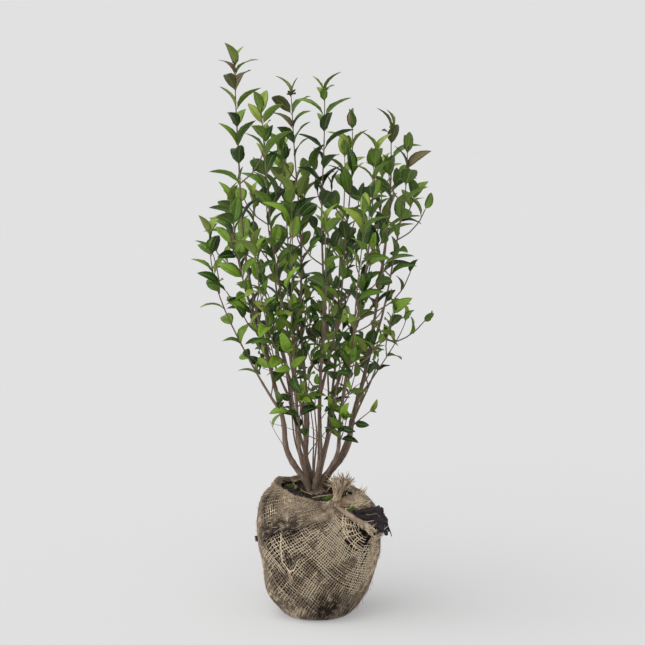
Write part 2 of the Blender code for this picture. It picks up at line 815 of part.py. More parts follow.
def side_twig(shoot, axes, at, along, outward, rng):
    """A short twig that leaves aslant and turns up, with its leaves, or None."""
    length = SIDE_TWIG_LENGTH * rng.uniform(0.65, 1.2)
    turn = rng.uniform(0.0, math.pi)
    draws = [[rng.random() for _ in range(6)] for _ in range(SIDE_TWIG_PAIRS)]
    for share in SIDE_TWIG_FITS:
        reach = length * share
        points = [
            at + outward * reach * 0.62 * math.sin(t * 1.35) + along * reach * 0.45 * (t + t * t)
            for t in SIDE_TWIG_MARKS
        ]
        if in_space(shoot, points[2:], axes):
            break
    else:
        return None
    twig = Twig(points, SIDE_TWIG_RADII)
    leaves = []
    run = SIDE_TWIG_STEP
    for pair in draws:
        last = run > reach - 0.006
        mark = 0.98 if last else run / reach
        spot = on_twig(twig, SIDE_TWIG_MARKS, mark)
        way = (spot - on_twig(twig, SIDE_TWIG_MARKS, mark - 0.05)).normalized()
        for k, opposite in enumerate((0.0, math.pi)):
            draw = pair[3 * k : 3 * k + 3]
            side = outward_at(way, turn + opposite)
            angle = math.radians(30 if last else 56) + 0.25 * (draw[0] - 0.5)
            size = leaf_size(spot.z) * (0.70 + 0.22 * draw[1])
            fitted = fitted_leaf(shoot, axes, spot, way, side, size, angle, draw + [draw[0]])
            if fitted:
                leaves.append(fitted)
        if last:
            break
        run += SIDE_TWIG_STEP
        turn += math.pi / 2
    return twig, leaves


def grow_shoot(shoot, axes):
    """The twigs and leaves of one shoot, in opposite pairs a quarter turn apart."""
    rng = random.Random(SEED + shoot.number)
    start = leafy_start(shoot)
    run = even_run(start, shoot.tip.z, SHOOT_STEP)
    main = Twig([axis_point(shoot, z) for z in run], [axis_radius(shoot, z) for z in run])
    twigs = [main]
    leaves = []
    turn = rng.choice((0.0, math.pi / 2)) + rng.uniform(-TURN_START, TURN_START)
    height = climb(shoot, start, FIRST_NODE)
    while height < shoot.tip.z - LAST_NODE:
        share = (height - start) / (shoot.tip.z - start)
        at, along = on_twig(main, run, height), axis_direction(shoot, height)
        for opposite in (0.0, math.pi):
            draws = [rng.random() for _ in range(7)]
            outward = outward_at(along, turn + opposite)
            grown = None
            if draws[4] < SIDE_TWIG_CHANCE and share < SIDE_TWIG_BELOW:
                grown = side_twig(shoot, axes, at, along, outward, rng)
            if grown:
                twigs.append(grown[0])
                leaves += grown[1]
                continue
            young = 1 - YOUNG_FALL * smooth_step(0.90, 1.0, share)
            size = leaf_size(height) * young * (0.88 + 0.24 * draws[5])
            angle = LEAF_ANGLE - LEAF_ANGLE_FALL * share + LEAF_ANGLE_SPREAD * (draws[6] - 0.5)
            leaf = fitted_leaf(shoot, axes, at, along, outward, size, math.radians(angle), draws)
            if leaf:
                leaves.append(leaf)
        turn += math.pi / 2 + rng.uniform(-TURN_SPREAD, TURN_SPREAD)
        stride = INTERNODE * rng.uniform(0.9, 1.1) * (1 - INTERNODE_SHRINK * share**4)
        height = climb(shoot, height, stride)
    along = axis_direction(shoot, shoot.tip.z - TIP_PAIR_DROP)
    at = shoot.tip - along * TIP_PAIR_DROP
    for opposite in (0.0, math.pi):
        draws = [rng.random() for _ in range(4)]
        outward = outward_at(along, turn + opposite)
        size = leaf_size(shoot.tip.z) * (TIP_PAIR_SHARES[0] + TIP_PAIR_SHARES[1] * draws[3])
        angle = math.radians(TIP_PAIR_ANGLE)
        leaf = fitted_leaf(shoot, axes, at, along, outward, size, angle, draws)
        if leaf:
            leaves.append(leaf)
    return twigs, leaves


def leaf_body(leaf, home):
    """A folded, arched blade of eight faces, its root sunk in the twig."""
    bm = bmesh.new()
    bmesh.ops.create_uvsphere(bm, u_segments=4, v_segments=2, radius=1.0)
    targets = leaf_points(leaf, ROOT_PAST_AXIS)
    for vertex in bm.verts:
        x, y, z = vertex.co
        if abs(z) > 0.5:
            vertex.co = targets[1 if z > 0 else 0]
        elif abs(y) > 0.5:
            vertex.co = targets[2 if y > 0 else 3]
        else:
            vertex.co = targets[4 if x > 0 else 5]
    bmesh.ops.transform(bm, matrix=leaf.place, verts=bm.verts)
    bmesh.ops.recalc_face_normals(bm, faces=bm.faces)
    return object_of(bm, "leaf", home)


def search_tree(obj):
    points = [vertex.co for vertex in obj.data.vertices]
    faces = [tuple(polygon.vertices) for polygon in obj.data.polygons]
    return BVHTree.FromPolygons(points, faces)


def touches(obj, trees):
    """Whether the object comes within the clearance of anything in the trees."""
    swollen = swollen_copy(obj, LEAF_GAP, bpy.context.scene.collection)
    own = search_tree(swollen)
    drop(swollen)
    return any(own.overlap(tree) for tree in trees)


def foliage(shoot, axes, trees, home):
    """One leafy shoot, with the twigs and leaves that touch nothing fused to its stem."""
    twigs, leaves = grow_shoot(shoot, axes)
    main = tube(f"foliage_{shoot.number:02d}", twigs[0].points, twigs[0].radii, TWIG_SIDES, home)
    if not shoot.bare:
        cutters = new_collection("twig_cutters")
        stem_tube(SHOOTS[shoot.carrier - 1], "stem_clearance", LIMB_GAP, cutters)
        cut_clear(main, cutters)
    pieces = new_collection("foliage_pieces")
    grown = [tube("twig", twig.points, twig.radii, TWIG_SIDES, pieces) for twig in twigs[1:]]
    grown += [leaf_body(leaf, pieces) for leaf in leaves]
    for piece in grown:
        if touches(piece, trees):
            drop(piece)
    join_pieces(main, pieces)
    return main


def main():
    clear_scene()
    home = new_collection("privet_shrub")
    cutters = new_collection("cutters")
    three_sided_outline(cutters)
    bark = material("bark", (0.17, 0.115, 0.075), 0.8)
    leaf_green = material("leaf_green", (0.085, 0.19, 0.035), 0.4)
    hessian = material("hessian", (0.36, 0.27, 0.18), 0.95)
    soil = material("soil", (0.035, 0.024, 0.017), 1.0)

    soil_ball(home).data.materials.append(soil)
    hessian_wrap(home, cutters).data.materials.append(hessian)
    for piece in ball_trim(home):
        piece.data.materials.append(soil if piece.name == "peat_flap" else hessian)
    stool_body("stool", 0.0, home).data.materials.append(bark)

    limbs = stems(home)
    for limb in limbs:
        limb.data.materials.append(bark)
    axes = leafy_axes()
    trees = [search_tree(limb) for limb in limbs]
    for shoot in SHOOTS:
        mass = foliage(shoot, axes, trees, home)
        mass.data.materials.append(leaf_green)
        trees.append(search_tree(mass))


main()
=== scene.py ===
"""The looks of a privet shrub whose root ball is wrapped in hessian, in metres, +Z up.

Limbs, twigs and leaves follow the seeded rule of the solids that they dress, carried on to
finer twigs within the same reach. The cloth is woven threads over a dusty backing, and it
is open at the top and at a torn place, where rough soil shows.
"""

import math
import random
from collections import namedtuple

import bmesh
import bpy
import numpy as np
from bpy.props import FloatProperty, FloatVectorProperty, PointerProperty
from mathutils import Matrix, Vector, noise
from mathutils.kdtree import KDTree


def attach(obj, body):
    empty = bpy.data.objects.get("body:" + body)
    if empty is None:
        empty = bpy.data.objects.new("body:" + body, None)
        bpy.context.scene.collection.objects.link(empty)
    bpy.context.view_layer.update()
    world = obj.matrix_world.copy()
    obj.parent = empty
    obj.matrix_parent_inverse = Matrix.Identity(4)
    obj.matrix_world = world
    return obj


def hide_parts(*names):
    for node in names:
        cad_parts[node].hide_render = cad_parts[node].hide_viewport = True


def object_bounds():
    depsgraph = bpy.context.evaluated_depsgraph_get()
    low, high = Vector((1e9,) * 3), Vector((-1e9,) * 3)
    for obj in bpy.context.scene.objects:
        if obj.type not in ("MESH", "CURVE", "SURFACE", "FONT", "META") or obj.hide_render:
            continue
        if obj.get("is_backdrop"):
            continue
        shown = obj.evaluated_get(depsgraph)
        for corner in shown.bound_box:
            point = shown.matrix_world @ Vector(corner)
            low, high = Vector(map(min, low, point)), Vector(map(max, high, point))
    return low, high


bl_info = {
    "name": "Privet shrub looks",
    "version": (1, 0, 0),
    "blender": (4, 5, 0),
    "location": "View3D > Sidebar > Privet",
    "description": "Dresses the solids of a privet shrub on its root ball",
    "category": "Object",
}

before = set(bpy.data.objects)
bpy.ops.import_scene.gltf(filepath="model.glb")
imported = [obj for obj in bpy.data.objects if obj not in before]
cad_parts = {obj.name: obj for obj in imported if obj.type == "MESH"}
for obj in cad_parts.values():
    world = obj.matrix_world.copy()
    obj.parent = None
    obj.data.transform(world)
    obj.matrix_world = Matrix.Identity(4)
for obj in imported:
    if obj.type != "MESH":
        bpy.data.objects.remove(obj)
CAD_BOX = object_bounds()
NODES = sorted(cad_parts)
FOLIAGE_NODES = [name for name in NODES if name.startswith("foliage_")]
STEM_NODES = [name for name in NODES if name.startswith("stem_")]
BODY = "root"
BAKE_MAP = "OFBake"

# Root ball: the cloth's outer shape, turned about a vertical line. Each lump is a wave: its
# rounds, start, wind and share. The dent: its angle, height, reach round and up, and depth
FOOT_RADIUS = 0.056
BELLY_RADIUS = 0.117
BELLY_HEIGHT = 0.172
RIM_RADIUS = 0.086
RIM_HEIGHT = 0.248
HEM_RADIUS = 0.0030
RIM_DIP = 0.0055
CLOTH = 0.0020
CLOTH_GAP = 0.0022
BELLY_SWELL = 0.6
SHOULDER_FALL = 2.4
LUMP = 0.0044
LUMPS = ((2, 0.6, 2.0, 1.0), (3, -1.4, -3.5, 0.8), (5, 0.0, 4.0, 0.3))
LUMP_FULL_AT = 0.25
DENT = (math.radians(-166), 0.098, 0.16, 0.042, 0.0105)
LUMP_INNER = 0.040
LUMP_OUTER = 0.080
RIM_TILT = 0.010
RIM_HIGH_AT = math.radians(165)
SOIL_TOP = 0.243
SOIL_EDGE = 0.236
LOW_POINTS, HIGH_POINTS = 40, 26
CLOTH_STEPS, SOIL_STEPS = 180, 170

# Torn place at the right of the front
TEAR_AT = math.radians(-41)
TEAR_HEIGHT = 0.189
TEAR_WIDTH = 0.098
TEAR_TALL = 0.076
TEAR_LEAN = math.radians(-25)

# Knot at the front rim, and the sizes of the neck of cloth above it by share of its rise
KNOT_AT = math.radians(-72)
KNOT_FOOT = (0.010, 0.003)
COLLAR = (0.073, 0.2385)
GATHER_RISE = Vector((0.012, 0.004, 0.048))
GATHER_SIZES = (
    (0.0, 0.16, 0.32, 0.55, 0.80, 1.0),
    (0.0120, 0.0086, 0.0068, 0.0080, 0.0120, 0.0165),
)
GATHER_FLAT = 0.8
NECK_TURNS = 3

# Tongues of cloth or peat that lie on the ball, from one place to another. Places on the
# cloth are distances round the ball from the knot and down from the rim
Tongue = namedtuple(
    "Tongue", "start end width shares lift thick folds ragged bow crown stand stand_side"
)
TAIL = Tongue(
    (0.010, 0.005), (0.077, 0.069), 0.0150, (0.6, 0.8, 0.95, 1.0, 1.0, 1.0, 0.9),
    0.004, 0.0013, 2.6, 0.24, -0.002, 0.0030, 0.0, 1.0,
)
FAN = Tongue(
    (0.006, -0.002), (0.096, -0.006), 0.036, (0.25, 0.6, 0.9, 1.0, 0.9),
    0.002, 0.0011, 9.0, 0.40, 0.0, 0.001, 0.007, -1.0,
)
FLAP = Tongue(
    (0.046, 0.027), (0.139, 0.064), 0.036, (0.5, 0.85, 1.15, 1.45, 1.5),
    0.008, 0.0032, 7.0, 0.34, -0.004, 0.001, 0.0, 1.0,
)

# The weave: the place that it fans out from, its threads, and for every so many of them the
# distance that they start at. It is pushed off the torn place, by so much and so wide
FOCUS = (0.165, -0.105)
WARP_COUNT = 720
WARP_LEVELS = ((8, 0.030), (4, 0.105), (2, 0.22), (1, 0.47))
WEFT_FROM = 0.030
WEAVE_REACH = 0.66
TORN_CENTRE = (0.062, 0.062)
TORN_PUSH = (0.011, 0.048)
THREAD_TINTS = ("thread_pale", "thread_tan", "thread_brown", "thread_dark", "thread_rust")
PALE, TAN, DAMP, DARK, RUSTY = range(5)

# Long curves and rungs of the slack net in the tear, how deep the soil behind it is hollow,
# and the thick hem down the left front
LADDER = (5, 10)
NET_POINTS = 18
TEAR_HOLLOW = 0.014
HEM_MARKS = (0.0, 0.45, 0.72, 0.88, 1.0)
HEM_AROUND = (-0.112, -0.112, -0.099, -0.088, -0.080)
HEM_DOWN = (0.071, 0.126, 0.144, 0.142, 0.128)

# How many there are of each small thing
CRUMBS, STRAWS, MOSS_LEAVES = 1500, 46, 170
HAIRS, TUFT, PULLED, HEM_ENDS, SLIT_THREADS, BURR_HAIRS = 1500, 240, 15, 18, 9, 16
HANGING_ROOTS, FLAP_ROOTS = 5, 70
FRAYS = ((TAIL, 64, 0.3), (FAN, 100, 0.7))

# Soft patches, each a place, two half widths, a slant and a strength: a fold on the left shoulder,
# a netted place, a pale one, those where the weave is open, and stains, of which the last two are
# painted shade at the foot of the ball.
SHOULDER = (-0.200, 0.020, 0.060, 0.024, 0.0, 0.007)
NETTED = (-0.165, 0.030, 0.036, 0.030, 0.0, 0.62)
PALE_PLACE = (0.088, 0.125, 0.044, 0.075, -0.2, 0.75)
OPEN_PLACES = (
    (-0.020, 0.142, 0.100, 0.092, -0.3, 2.2),
    (-0.125, 0.180, 0.070, 0.085, 0.0, 0.95),
    (0.012, 0.078, 0.040, 0.026, 0.4, 1.0),
    (0.075, 0.125, 0.030, 0.020, 0.5, 0.7),
)
STAIN_AND_SHADE_PATCHES = (
    (-0.132, 0.064, 0.040, 0.015, -0.35, 1.4),
    (-0.086, 0.056, 0.018, 0.014, -0.9, 1.1),
    (-0.010, 0.224, 0.026, 0.040, 0.3, 1.3),
    (0.036, 0.118, 0.014, 0.010, 0.5, 0.6),
    (-0.098, 0.118, 0.006, 0.018, -0.2, 1.0),
    (0.20, 0.17, 0.05, 0.04, 0.4, 0.8),
    (0.33, 0.09, 0.05, 0.03, -0.4, 0.8),
    (-0.30, 0.20, 0.05, 0.04, 0.2, 0.8),
    # These last two are painted shade: they darken the ball's foot, left and right, where shade
    # falls by the floor.
    (-0.165, 0.212, 0.050, 0.028, 0.2, 0.55),
    (0.070, 0.236, 0.040, 0.018, 0.0, 0.5),
)

# On the soil: its top line, straw stalks, a bud, and clumps of moss with their half widths
SOIL_TOP_RADII = (0.075, 0.066, 0.057, 0.049, 0.042, 0.036, 0.030, 0.022, 0.0)
SOIL_TOP_LINE = (
    (0.0, 0.036, 0.042, 0.057, 0.066, 0.080),
    (SOIL_TOP, SOIL_TOP, 0.2422, 0.2408, 0.240, 0.2375),
)
STALKS = (
    ((0.017, -0.020, 0.246), (0.036, 0.030, 0.268)),
    ((0.030, -0.040, 0.247), (0.046, 0.020, 0.262)),
    ((-0.010, -0.066, 0.246), (0.030, -0.074, 0.258)),
)
PINK_BUD = (-0.044, 0.019, 0.243)
MOSS = (
    (0.022, -0.066, 0.243, 0.009),
    (0.036, -0.058, 0.244, 0.006),
    (-0.054, 0.042, 0.243, 0.006),
)

# Stool and stems. Over the stool the stems close in and shift, and then bow out
STOOL_HEIGHT = 0.008
STOOL_FOOT_RADIUS = 0.017
STOOL_NECK_RADIUS = 0.011
STOOL_CROWN = 0.003
STOOL_LOBES = 5
STOOL_LOBE_DEPTH = 0.12
FOOT_HEIGHT = SOIL_TOP + 0.006
FOOT_SPREAD = 0.017
MAIN_STEMS = 9
FOOT_CLOSE, CLOSE_RISE = 0.60, 0.028
FOOT_SHIFT, SHIFT_RISE = -0.007, 0.05
FOOT_BOW, BOW_AT, BOW_RISE = 0.30, 0.068, 0.046
SLIMMER = 0.27
STEM_TIP_RADIUS = 0.0011
STEM_FLARE = 0.35
STEM_FLARE_HEIGHT = 0.020
STEM_WAVE = 0.0035
WAVE_FULL_ON = 0.30
WAVE_WIND = 15.0
WAVE_START = 2.4
LIMB_SIDES = 12
LIMB_STEP = 0.005
YOUNG_RADIUS = 0.0042
GREEN_WOOD = (0.12, 0.13, 0.045)

# Leaves
SEED = 41
FINE_SEED = 641
LEAF_LOW_SHARE = 0.72
LEAF_WIDEST_AT = 0.44
LEAF_ROLL = math.radians(80)
LEAF_MARKS = (0.0, 0.075, 0.22, 0.40, 0.58, 0.76, 0.91, 1.0)
LEAF_HALVES = (-1.0, -0.5, 0.0, 0.5, 1.0)
LEAF_RIB = 0.0007
LEAF_GLOSS = 0.28
CHART_MIDDLE, CHART_HALF, CHART_UNDER = 0.25, 0.23, 0.5
# Of these tints, bright, mid, deep and old are lit and shaded copies of one green: painted light on
# the outer leaves and painted shade on those inside and low in the crown, partly also the darker
# green of older leaves.
TINTS = ("bright", "mid", "deep", "old", "lime", "bronze", "plum")
YOUNG_SHOOTS = (1, 2, 3, 4, 13, 15)
YOUNG_FROM = 0.86

# The heights between which leaves reach full size, are stunted, turn slim, and are fewer
GROWN, STUNTED = (0.50, 0.80), (0.46, 0.38)
SLIM_LOW, SLIM_HIGH = (0.45, 0.75), (0.82, 0.94)
FALLEN, FALLEN_LOW, FALLEN_HIGH = 0.20, (0.32, 0.42), (0.96, 0.88)

# Leafy shoots
INTERNODE = 0.037
INTERNODE_SHRINK = 0.3
FIRST_NODE = 0.012
LAST_NODE = 0.014
SHOOT_STEP = 0.080
LEAF_ANGLE = 66
LEAF_ANGLE_FALL = 18
LEAF_ANGLE_SPREAD = 14
TIP_PAIR_ANGLE = 24
TIP_PAIR_DROP = 0.004
TIP_PAIR_SHARES = (0.62, 0.25)
YOUNG_FALL = 0.22
TURN_START = 0.35
TURN_SPREAD = 0.2

# Side twigs
SIDE_TWIG_CHANCE = 0.08
SIDE_TWIG_BELOW = 0.7
SIDE_TWIG_LENGTH = 0.085
SIDE_TWIG_STEP = 0.030
SIDE_TWIG_MARKS = (0.0, 0.35, 0.7, 1.0)
SIDE_TWIG_RADII = (0.0014, 0.0013, 0.0012, 0.0010)
SIDE_TWIG_FITS = (1.0, 0.75, 0.55)
SIDE_TWIG_PAIRS = 8

# Short leafy twigs on the limbs below the leafy shoots
LOW_FROM = 0.36
LOW_RISE = (0.36, 0.52)
LOW_CHANCE = 0.27
LOW_MORE = 1.3

# Thin stems and dead twiglets low down, dried heads by shoot, and the wood's tints
THIN_STEMS = 12
TWIGLETS = 34
DRIED_HEADS = {1: 5, 2: 16, 3: 3, 5: 5, 13: 3}
YOUNG_WOOD, OLD_WOOD, DRIED = range(3)

# The crown's outline from the front: heights, and how far it reaches left and right
CROWN_HEIGHTS, CROWN_LEFTS, CROWN_RIGHTS = np.transpose(
    (
        (0.33, -0.09, 0.07), (0.39, -0.10, 0.10), (0.43, -0.11, 0.115),
        (0.465, -0.13, 0.12), (0.50, -0.17, 0.14), (0.54, -0.18, 0.19),
        (0.58, -0.21, 0.205), (0.64, -0.24, 0.175), (0.68, -0.25, 0.18),
        (0.72, -0.25, 0.20), (0.76, -0.25, 0.207), (0.80, -0.23, 0.208),
        (0.84, -0.20, 0.213), (0.88, -0.20, 0.216), (0.92, -0.19, 0.217),
        (0.96, -0.19, 0.185), (1.0, -0.18, 0.14),
    )
)
OUTLINE_MARGIN = 0.010

# The room of the crown, and of each shoot within it
CROWN_LEFT = -0.252
CROWN_RIGHT = 0.220
CROWN_DEPTH = 0.235
SPACE_MARGIN = 0.0012
SPACE_STEP = 0.008
LEAF_FITS = ((1.0, 0.0), (0.92, 9.0), (0.84, 18.0), (0.74, 26.0), (0.64, 34.0))

# Each shoot: the stem that carries it (0 is the stool), the height of its fork, its
# tip, how soon it swings out, its radius at the foot, and the height that it is
# leafless to (0 where leaves start at its foot)
Shoot = namedtuple("Shoot", "number carrier fork tip settle radius bare")
SHOOT_ROWS = (
    (0, FOOT_HEIGHT, (-0.156, -0.030, 1.074), 2.3, 0.0060, 0.545),
    (0, FOOT_HEIGHT, (-0.051, 0.025, 1.018), 0.8, 0.0050, 0.520),
    (0, FOOT_HEIGHT, (0.014, -0.055, 1.018), 1.0, 0.0052, 0.500),
    (0, FOOT_HEIGHT, (0.144, 0.050, 0.955), 2.3, 0.0068, 0.560),
    (0, FOOT_HEIGHT, (0.111, -0.060, 0.905), 1.4, 0.0044, 0.480),
    (0, FOOT_HEIGHT, (-0.104, -0.085, 0.985), 1.3, 0.0038, 0.500),
    (0, FOOT_HEIGHT, (-0.070, 0.085, 0.900), 1.3, 0.0032, 0.470),
    (0, FOOT_HEIGHT, (-0.105, 0.155, 0.890), 1.8, 0.0040, 0.470),
    (0, FOOT_HEIGHT, (0.055, 0.160, 0.900), 1.8, 0.0042, 0.475),
    (1, 0.405, (-0.210, 0.010, 0.752), 1.8, 0.0026, 0.468),
    (1, 0.500, (-0.162, -0.105, 0.820), 1.4, 0.0022, 0.555),
    (7, 0.400, (-0.126, 0.070, 0.815), 2.0, 0.0024, 0.480),
    (4, 0.505, (0.172, -0.030, 0.910), 1.8, 0.0030, 0.590),
    (4, 0.425, (0.170, -0.045, 0.590), 1.25, 0.0021, 0.475),
    (3, 0.440, (0.068, 0.030, 0.957), 2.2, 0.0028, 0.540),
    (6, 0.420, (-0.048, -0.150, 0.830), 1.6, 0.0025, 0.490),
    (3, 0.400, (0.016, -0.160, 0.780), 1.6, 0.0025, 0.480),
    (5, 0.420, (0.086, -0.155, 0.800), 1.6, 0.0026, 0.490),
    (6, 0.450, (-0.116, -0.160, 0.740), 1.6, 0.0022, 0.510),
    (8, 0.420, (-0.025, 0.185, 0.850), 1.4, 0.0026, 0.500),
    (9, 0.420, (0.130, 0.140, 0.870), 1.8, 0.0027, 0.490),
    (9, 0.390, (0.020, 0.215, 0.740), 1.6, 0.0022, 0.460),
    (8, 0.405, (-0.170, 0.115, 0.800), 1.7, 0.0026, 0.480),
    (4, 0.470, (0.140, 0.110, 0.790), 1.8, 0.0024, 0.545),
    (4, 0.370, (0.104, -0.025, 0.410), 1.0, 0.0014, 0.0),
    (5, 0.345, (0.056, -0.062, 0.400), 1.2, 0.0014, 0.0),
    (6, 0.365, (-0.030, -0.080, 0.450), 1.2, 0.0014, 0.0),
)
SHOOTS = [
    Shoot(number, *row[:2], Vector(row[2]), *row[3:]) for number, row in enumerate(SHOOT_ROWS, 1)
]

Leaf = namedtuple("Leaf", "place length width fold droop share height number")
Twig = namedtuple("Twig", "points radii")
Strand = namedtuple("Strand", "points radii tint")


# Settings


def number_setting(name, description, default, **kind):
    """A number that a user may change."""
    return FloatProperty(name=name, description=description, default=default, **kind)


def length_setting(name, description, default):
    """A length that a user may change."""
    return number_setting(name, description, default, unit="LENGTH")


def colour_setting(name, description, default):
    """A colour that a user may change."""
    return FloatVectorProperty(
        name=name, description=description, default=default, subtype="COLOR", min=0.0, max=1.0
    )


class ShrubSizes(bpy.types.PropertyGroup):
    leaf_length: length_setting(
        "Leaf length", "Length of a full-grown leaf high in the crown", 0.068
    )
    leaf_slimness: number_setting(
        "Leaf slimness", "Width of a leaf as a share of its length", 0.45
    )
    fine_twigs: number_setting(
        "Fine twigs", "Share of the leaf axils that carry a finer twig", 0.10, subtype="FACTOR"
    )
    bark_relief: length_setting("Bark relief", "Height of the ridges on the stems", 0.0004)
    thread_spacing: length_setting(
        "Thread spacing", "Distance from thread to thread at the belly of the ball", 0.0053
    )
    thread_radius: length_setting("Thread radius", "Radius of a hessian thread", 0.00057)
    soil_relief: length_setting("Soil relief", "Height of the lumps in the soil", 0.0035)


class ShrubColours(bpy.types.PropertyGroup):
    # The bright, mid, deep and old leaf colours are lit and shaded copies of one green: bright is
    # painted light, and deep and old are painted shade inside and low in the crown, partly the
    # darker green of older leaves.
    leaf_bright: colour_setting("Bright leaf", "Most leaves in the light", (0.150, 0.256, 0.021))
    leaf_mid: colour_setting("Mid leaf", "Leaves over most of the crown", (0.066, 0.137, 0.009))
    leaf_deep: colour_setting("Deep leaf", "Leaves inside the crown", (0.021, 0.060, 0.004))
    leaf_old: colour_setting("Old leaf", "Leaves low on the stems", (0.007, 0.027, 0.002))
    leaf_lime: colour_setting("Lime leaf", "Young leaves near the tips", (0.210, 0.270, 0.040))
    leaf_bronze: colour_setting("Bronze leaf", "A few sprays near the tips", (0.105, 0.075, 0.030))
    leaf_plum: colour_setting("Plum leaf", "A few young leaves", (0.070, 0.040, 0.042))
    leaf_under: colour_setting(
        "Leaf underside", "Grey-green of the undersides", (0.160, 0.225, 0.095)
    )
    leaf_rib: colour_setting("Leaf rib", "Pale midrib", (0.27, 0.36, 0.11))
    bark_old: colour_setting("Old bark", "Grey-brown of the thick stems", (0.158, 0.105, 0.070))
    bark_pale: colour_setting("Pale bark", "Light streaks on the stems", (0.36, 0.30, 0.245))
    bark_young: colour_setting(
        "Young bark", "Mauve-brown of the upper shoots", (0.185, 0.116, 0.080)
    )
    thread_pale: colour_setting("Pale thread", "Clean, dusty threads", (0.77, 0.645, 0.465))
    thread_tan: colour_setting("Tan thread", "Most of the threads", (0.345, 0.270, 0.190))
    thread_brown: colour_setting("Brown thread", "Damp threads", (0.165, 0.120, 0.083))
    thread_rust: colour_setting("Rusty thread", "Rusty patches by the knot", (0.300, 0.165, 0.090))
    thread_dark: colour_setting("Dark thread", "Threads stained by soil", (0.040, 0.029, 0.023))
    soil_dark: colour_setting("Dark soil", "Damp peaty soil", (0.014, 0.010, 0.008))
    soil_dry: colour_setting("Dry soil", "Crumbs that dried", (0.075, 0.052, 0.036))
    peat: colour_setting("Peat", "Felted roots and peat of the flap", (0.020, 0.013, 0.015))
    straw: colour_setting("Straw", "Hay and straw on the soil", (0.42, 0.33, 0.18))
    moss: colour_setting("Moss", "Moss on the soil", (0.100, 0.160, 0.018))


class StageSettings(bpy.types.PropertyGroup):
    camera_place: FloatVectorProperty(
        name="Camera place",
        description="Where the camera stands",
        default=(0.010, -3.2, 0.95),
        subtype="XYZ",
        unit="LENGTH",
    )
    camera_pitch: number_setting(
        "Camera pitch", "How far the camera looks down", math.radians(6.6), subtype="ANGLE"
    )
    lens: number_setting("Lens", "Focal length", 92.2, subtype="DISTANCE_CAMERA")
    sky: number_setting("Sky", "Brightness of the pale surround", 0.752)
    sun: number_setting("Lamp", "Strength of the soft lamp", 3.0)
    fill: number_setting("Fill", "Brightness of the light from above", 0.40)
    floor: number_setting("Floor", "Paleness of the floor", 0.365, subtype="FACTOR")
    glow: number_setting("Glow", "Own light of the floor", 0.302)


def settings():
    """The sizes, colours and stage settings of the open scene."""
    scene = bpy.context.scene
    return scene.privet_sizes, scene.privet_colours, scene.privet_stage


# Materials


class Value:
    """A number that changes over a surface, so that maths on it reads as Python."""

    def __init__(self, owner, socket):
        self.owner = owner
        self.socket = socket

    def maths(self, operation, first, second=0.0, clamp=False):
        choices = {"operation": operation, "use_clamp": clamp}
        return self.owner.value("ShaderNodeMath", choices, {0: first, 1: second})

    def __add__(self, other):
        return self.maths("ADD", self, other)

    def __radd__(self, other):
        return self.maths("ADD", other, self)

    def __sub__(self, other):
        return self.maths("SUBTRACT", self, other)

    def __rsub__(self, other):
        return self.maths("SUBTRACT", other, self)

    def __mul__(self, other):
        return self.maths("MULTIPLY", self, other)

    def __rmul__(self, other):
        return self.maths("MULTIPLY", other, self)

    def __truediv__(self, other):
        return self.maths("DIVIDE", self, other)

    def __abs__(self):
        return self.maths("ABSOLUTE", self)

    def above(self, level):
        return self.maths("GREATER_THAN", self, level)

    def fraction(self):
        return self.maths("FRACT", self)

    def clamped(self):
        return self.maths("ADD", self, 0.0, clamp=True)

    def rising(self, low, high):
        """Nought at low and one at high, smooth between."""
        sockets = {"Value": self, "From Min": low, "From Max": high}
        return self.owner.value("ShaderNodeMapRange", {"interpolation_type": "SMOOTHSTEP"}, sockets)


class Tree:
    """A node tree, built up by small methods."""

    def __init__(self, tree):
        self.tree = tree

    def put(self, target, value):
        """Sets or links one socket."""
        if isinstance(value, Value):
            self.tree.links.new(value.socket, target)
        elif target.type == "RGBA" and len(value) == 3:
            target.default_value = (*value, 1.0)
        else:
            target.default_value = value

    def add(self, kind, choices=None, sockets=None):
        """A node of a kind, with its own choices set first and then its sockets."""
        made = self.tree.nodes.new(kind)
        for name, choice in (choices or {}).items():
            setattr(made, name, choice)
        for name, value in (sockets or {}).items():
            self.put(made.inputs[name], value)
        return made

    def value(self, kind, choices=None, sockets=None, output=0):
        """The same, and what the node gives out."""
        return Value(self, self.add(kind, choices, sockets).outputs[output])


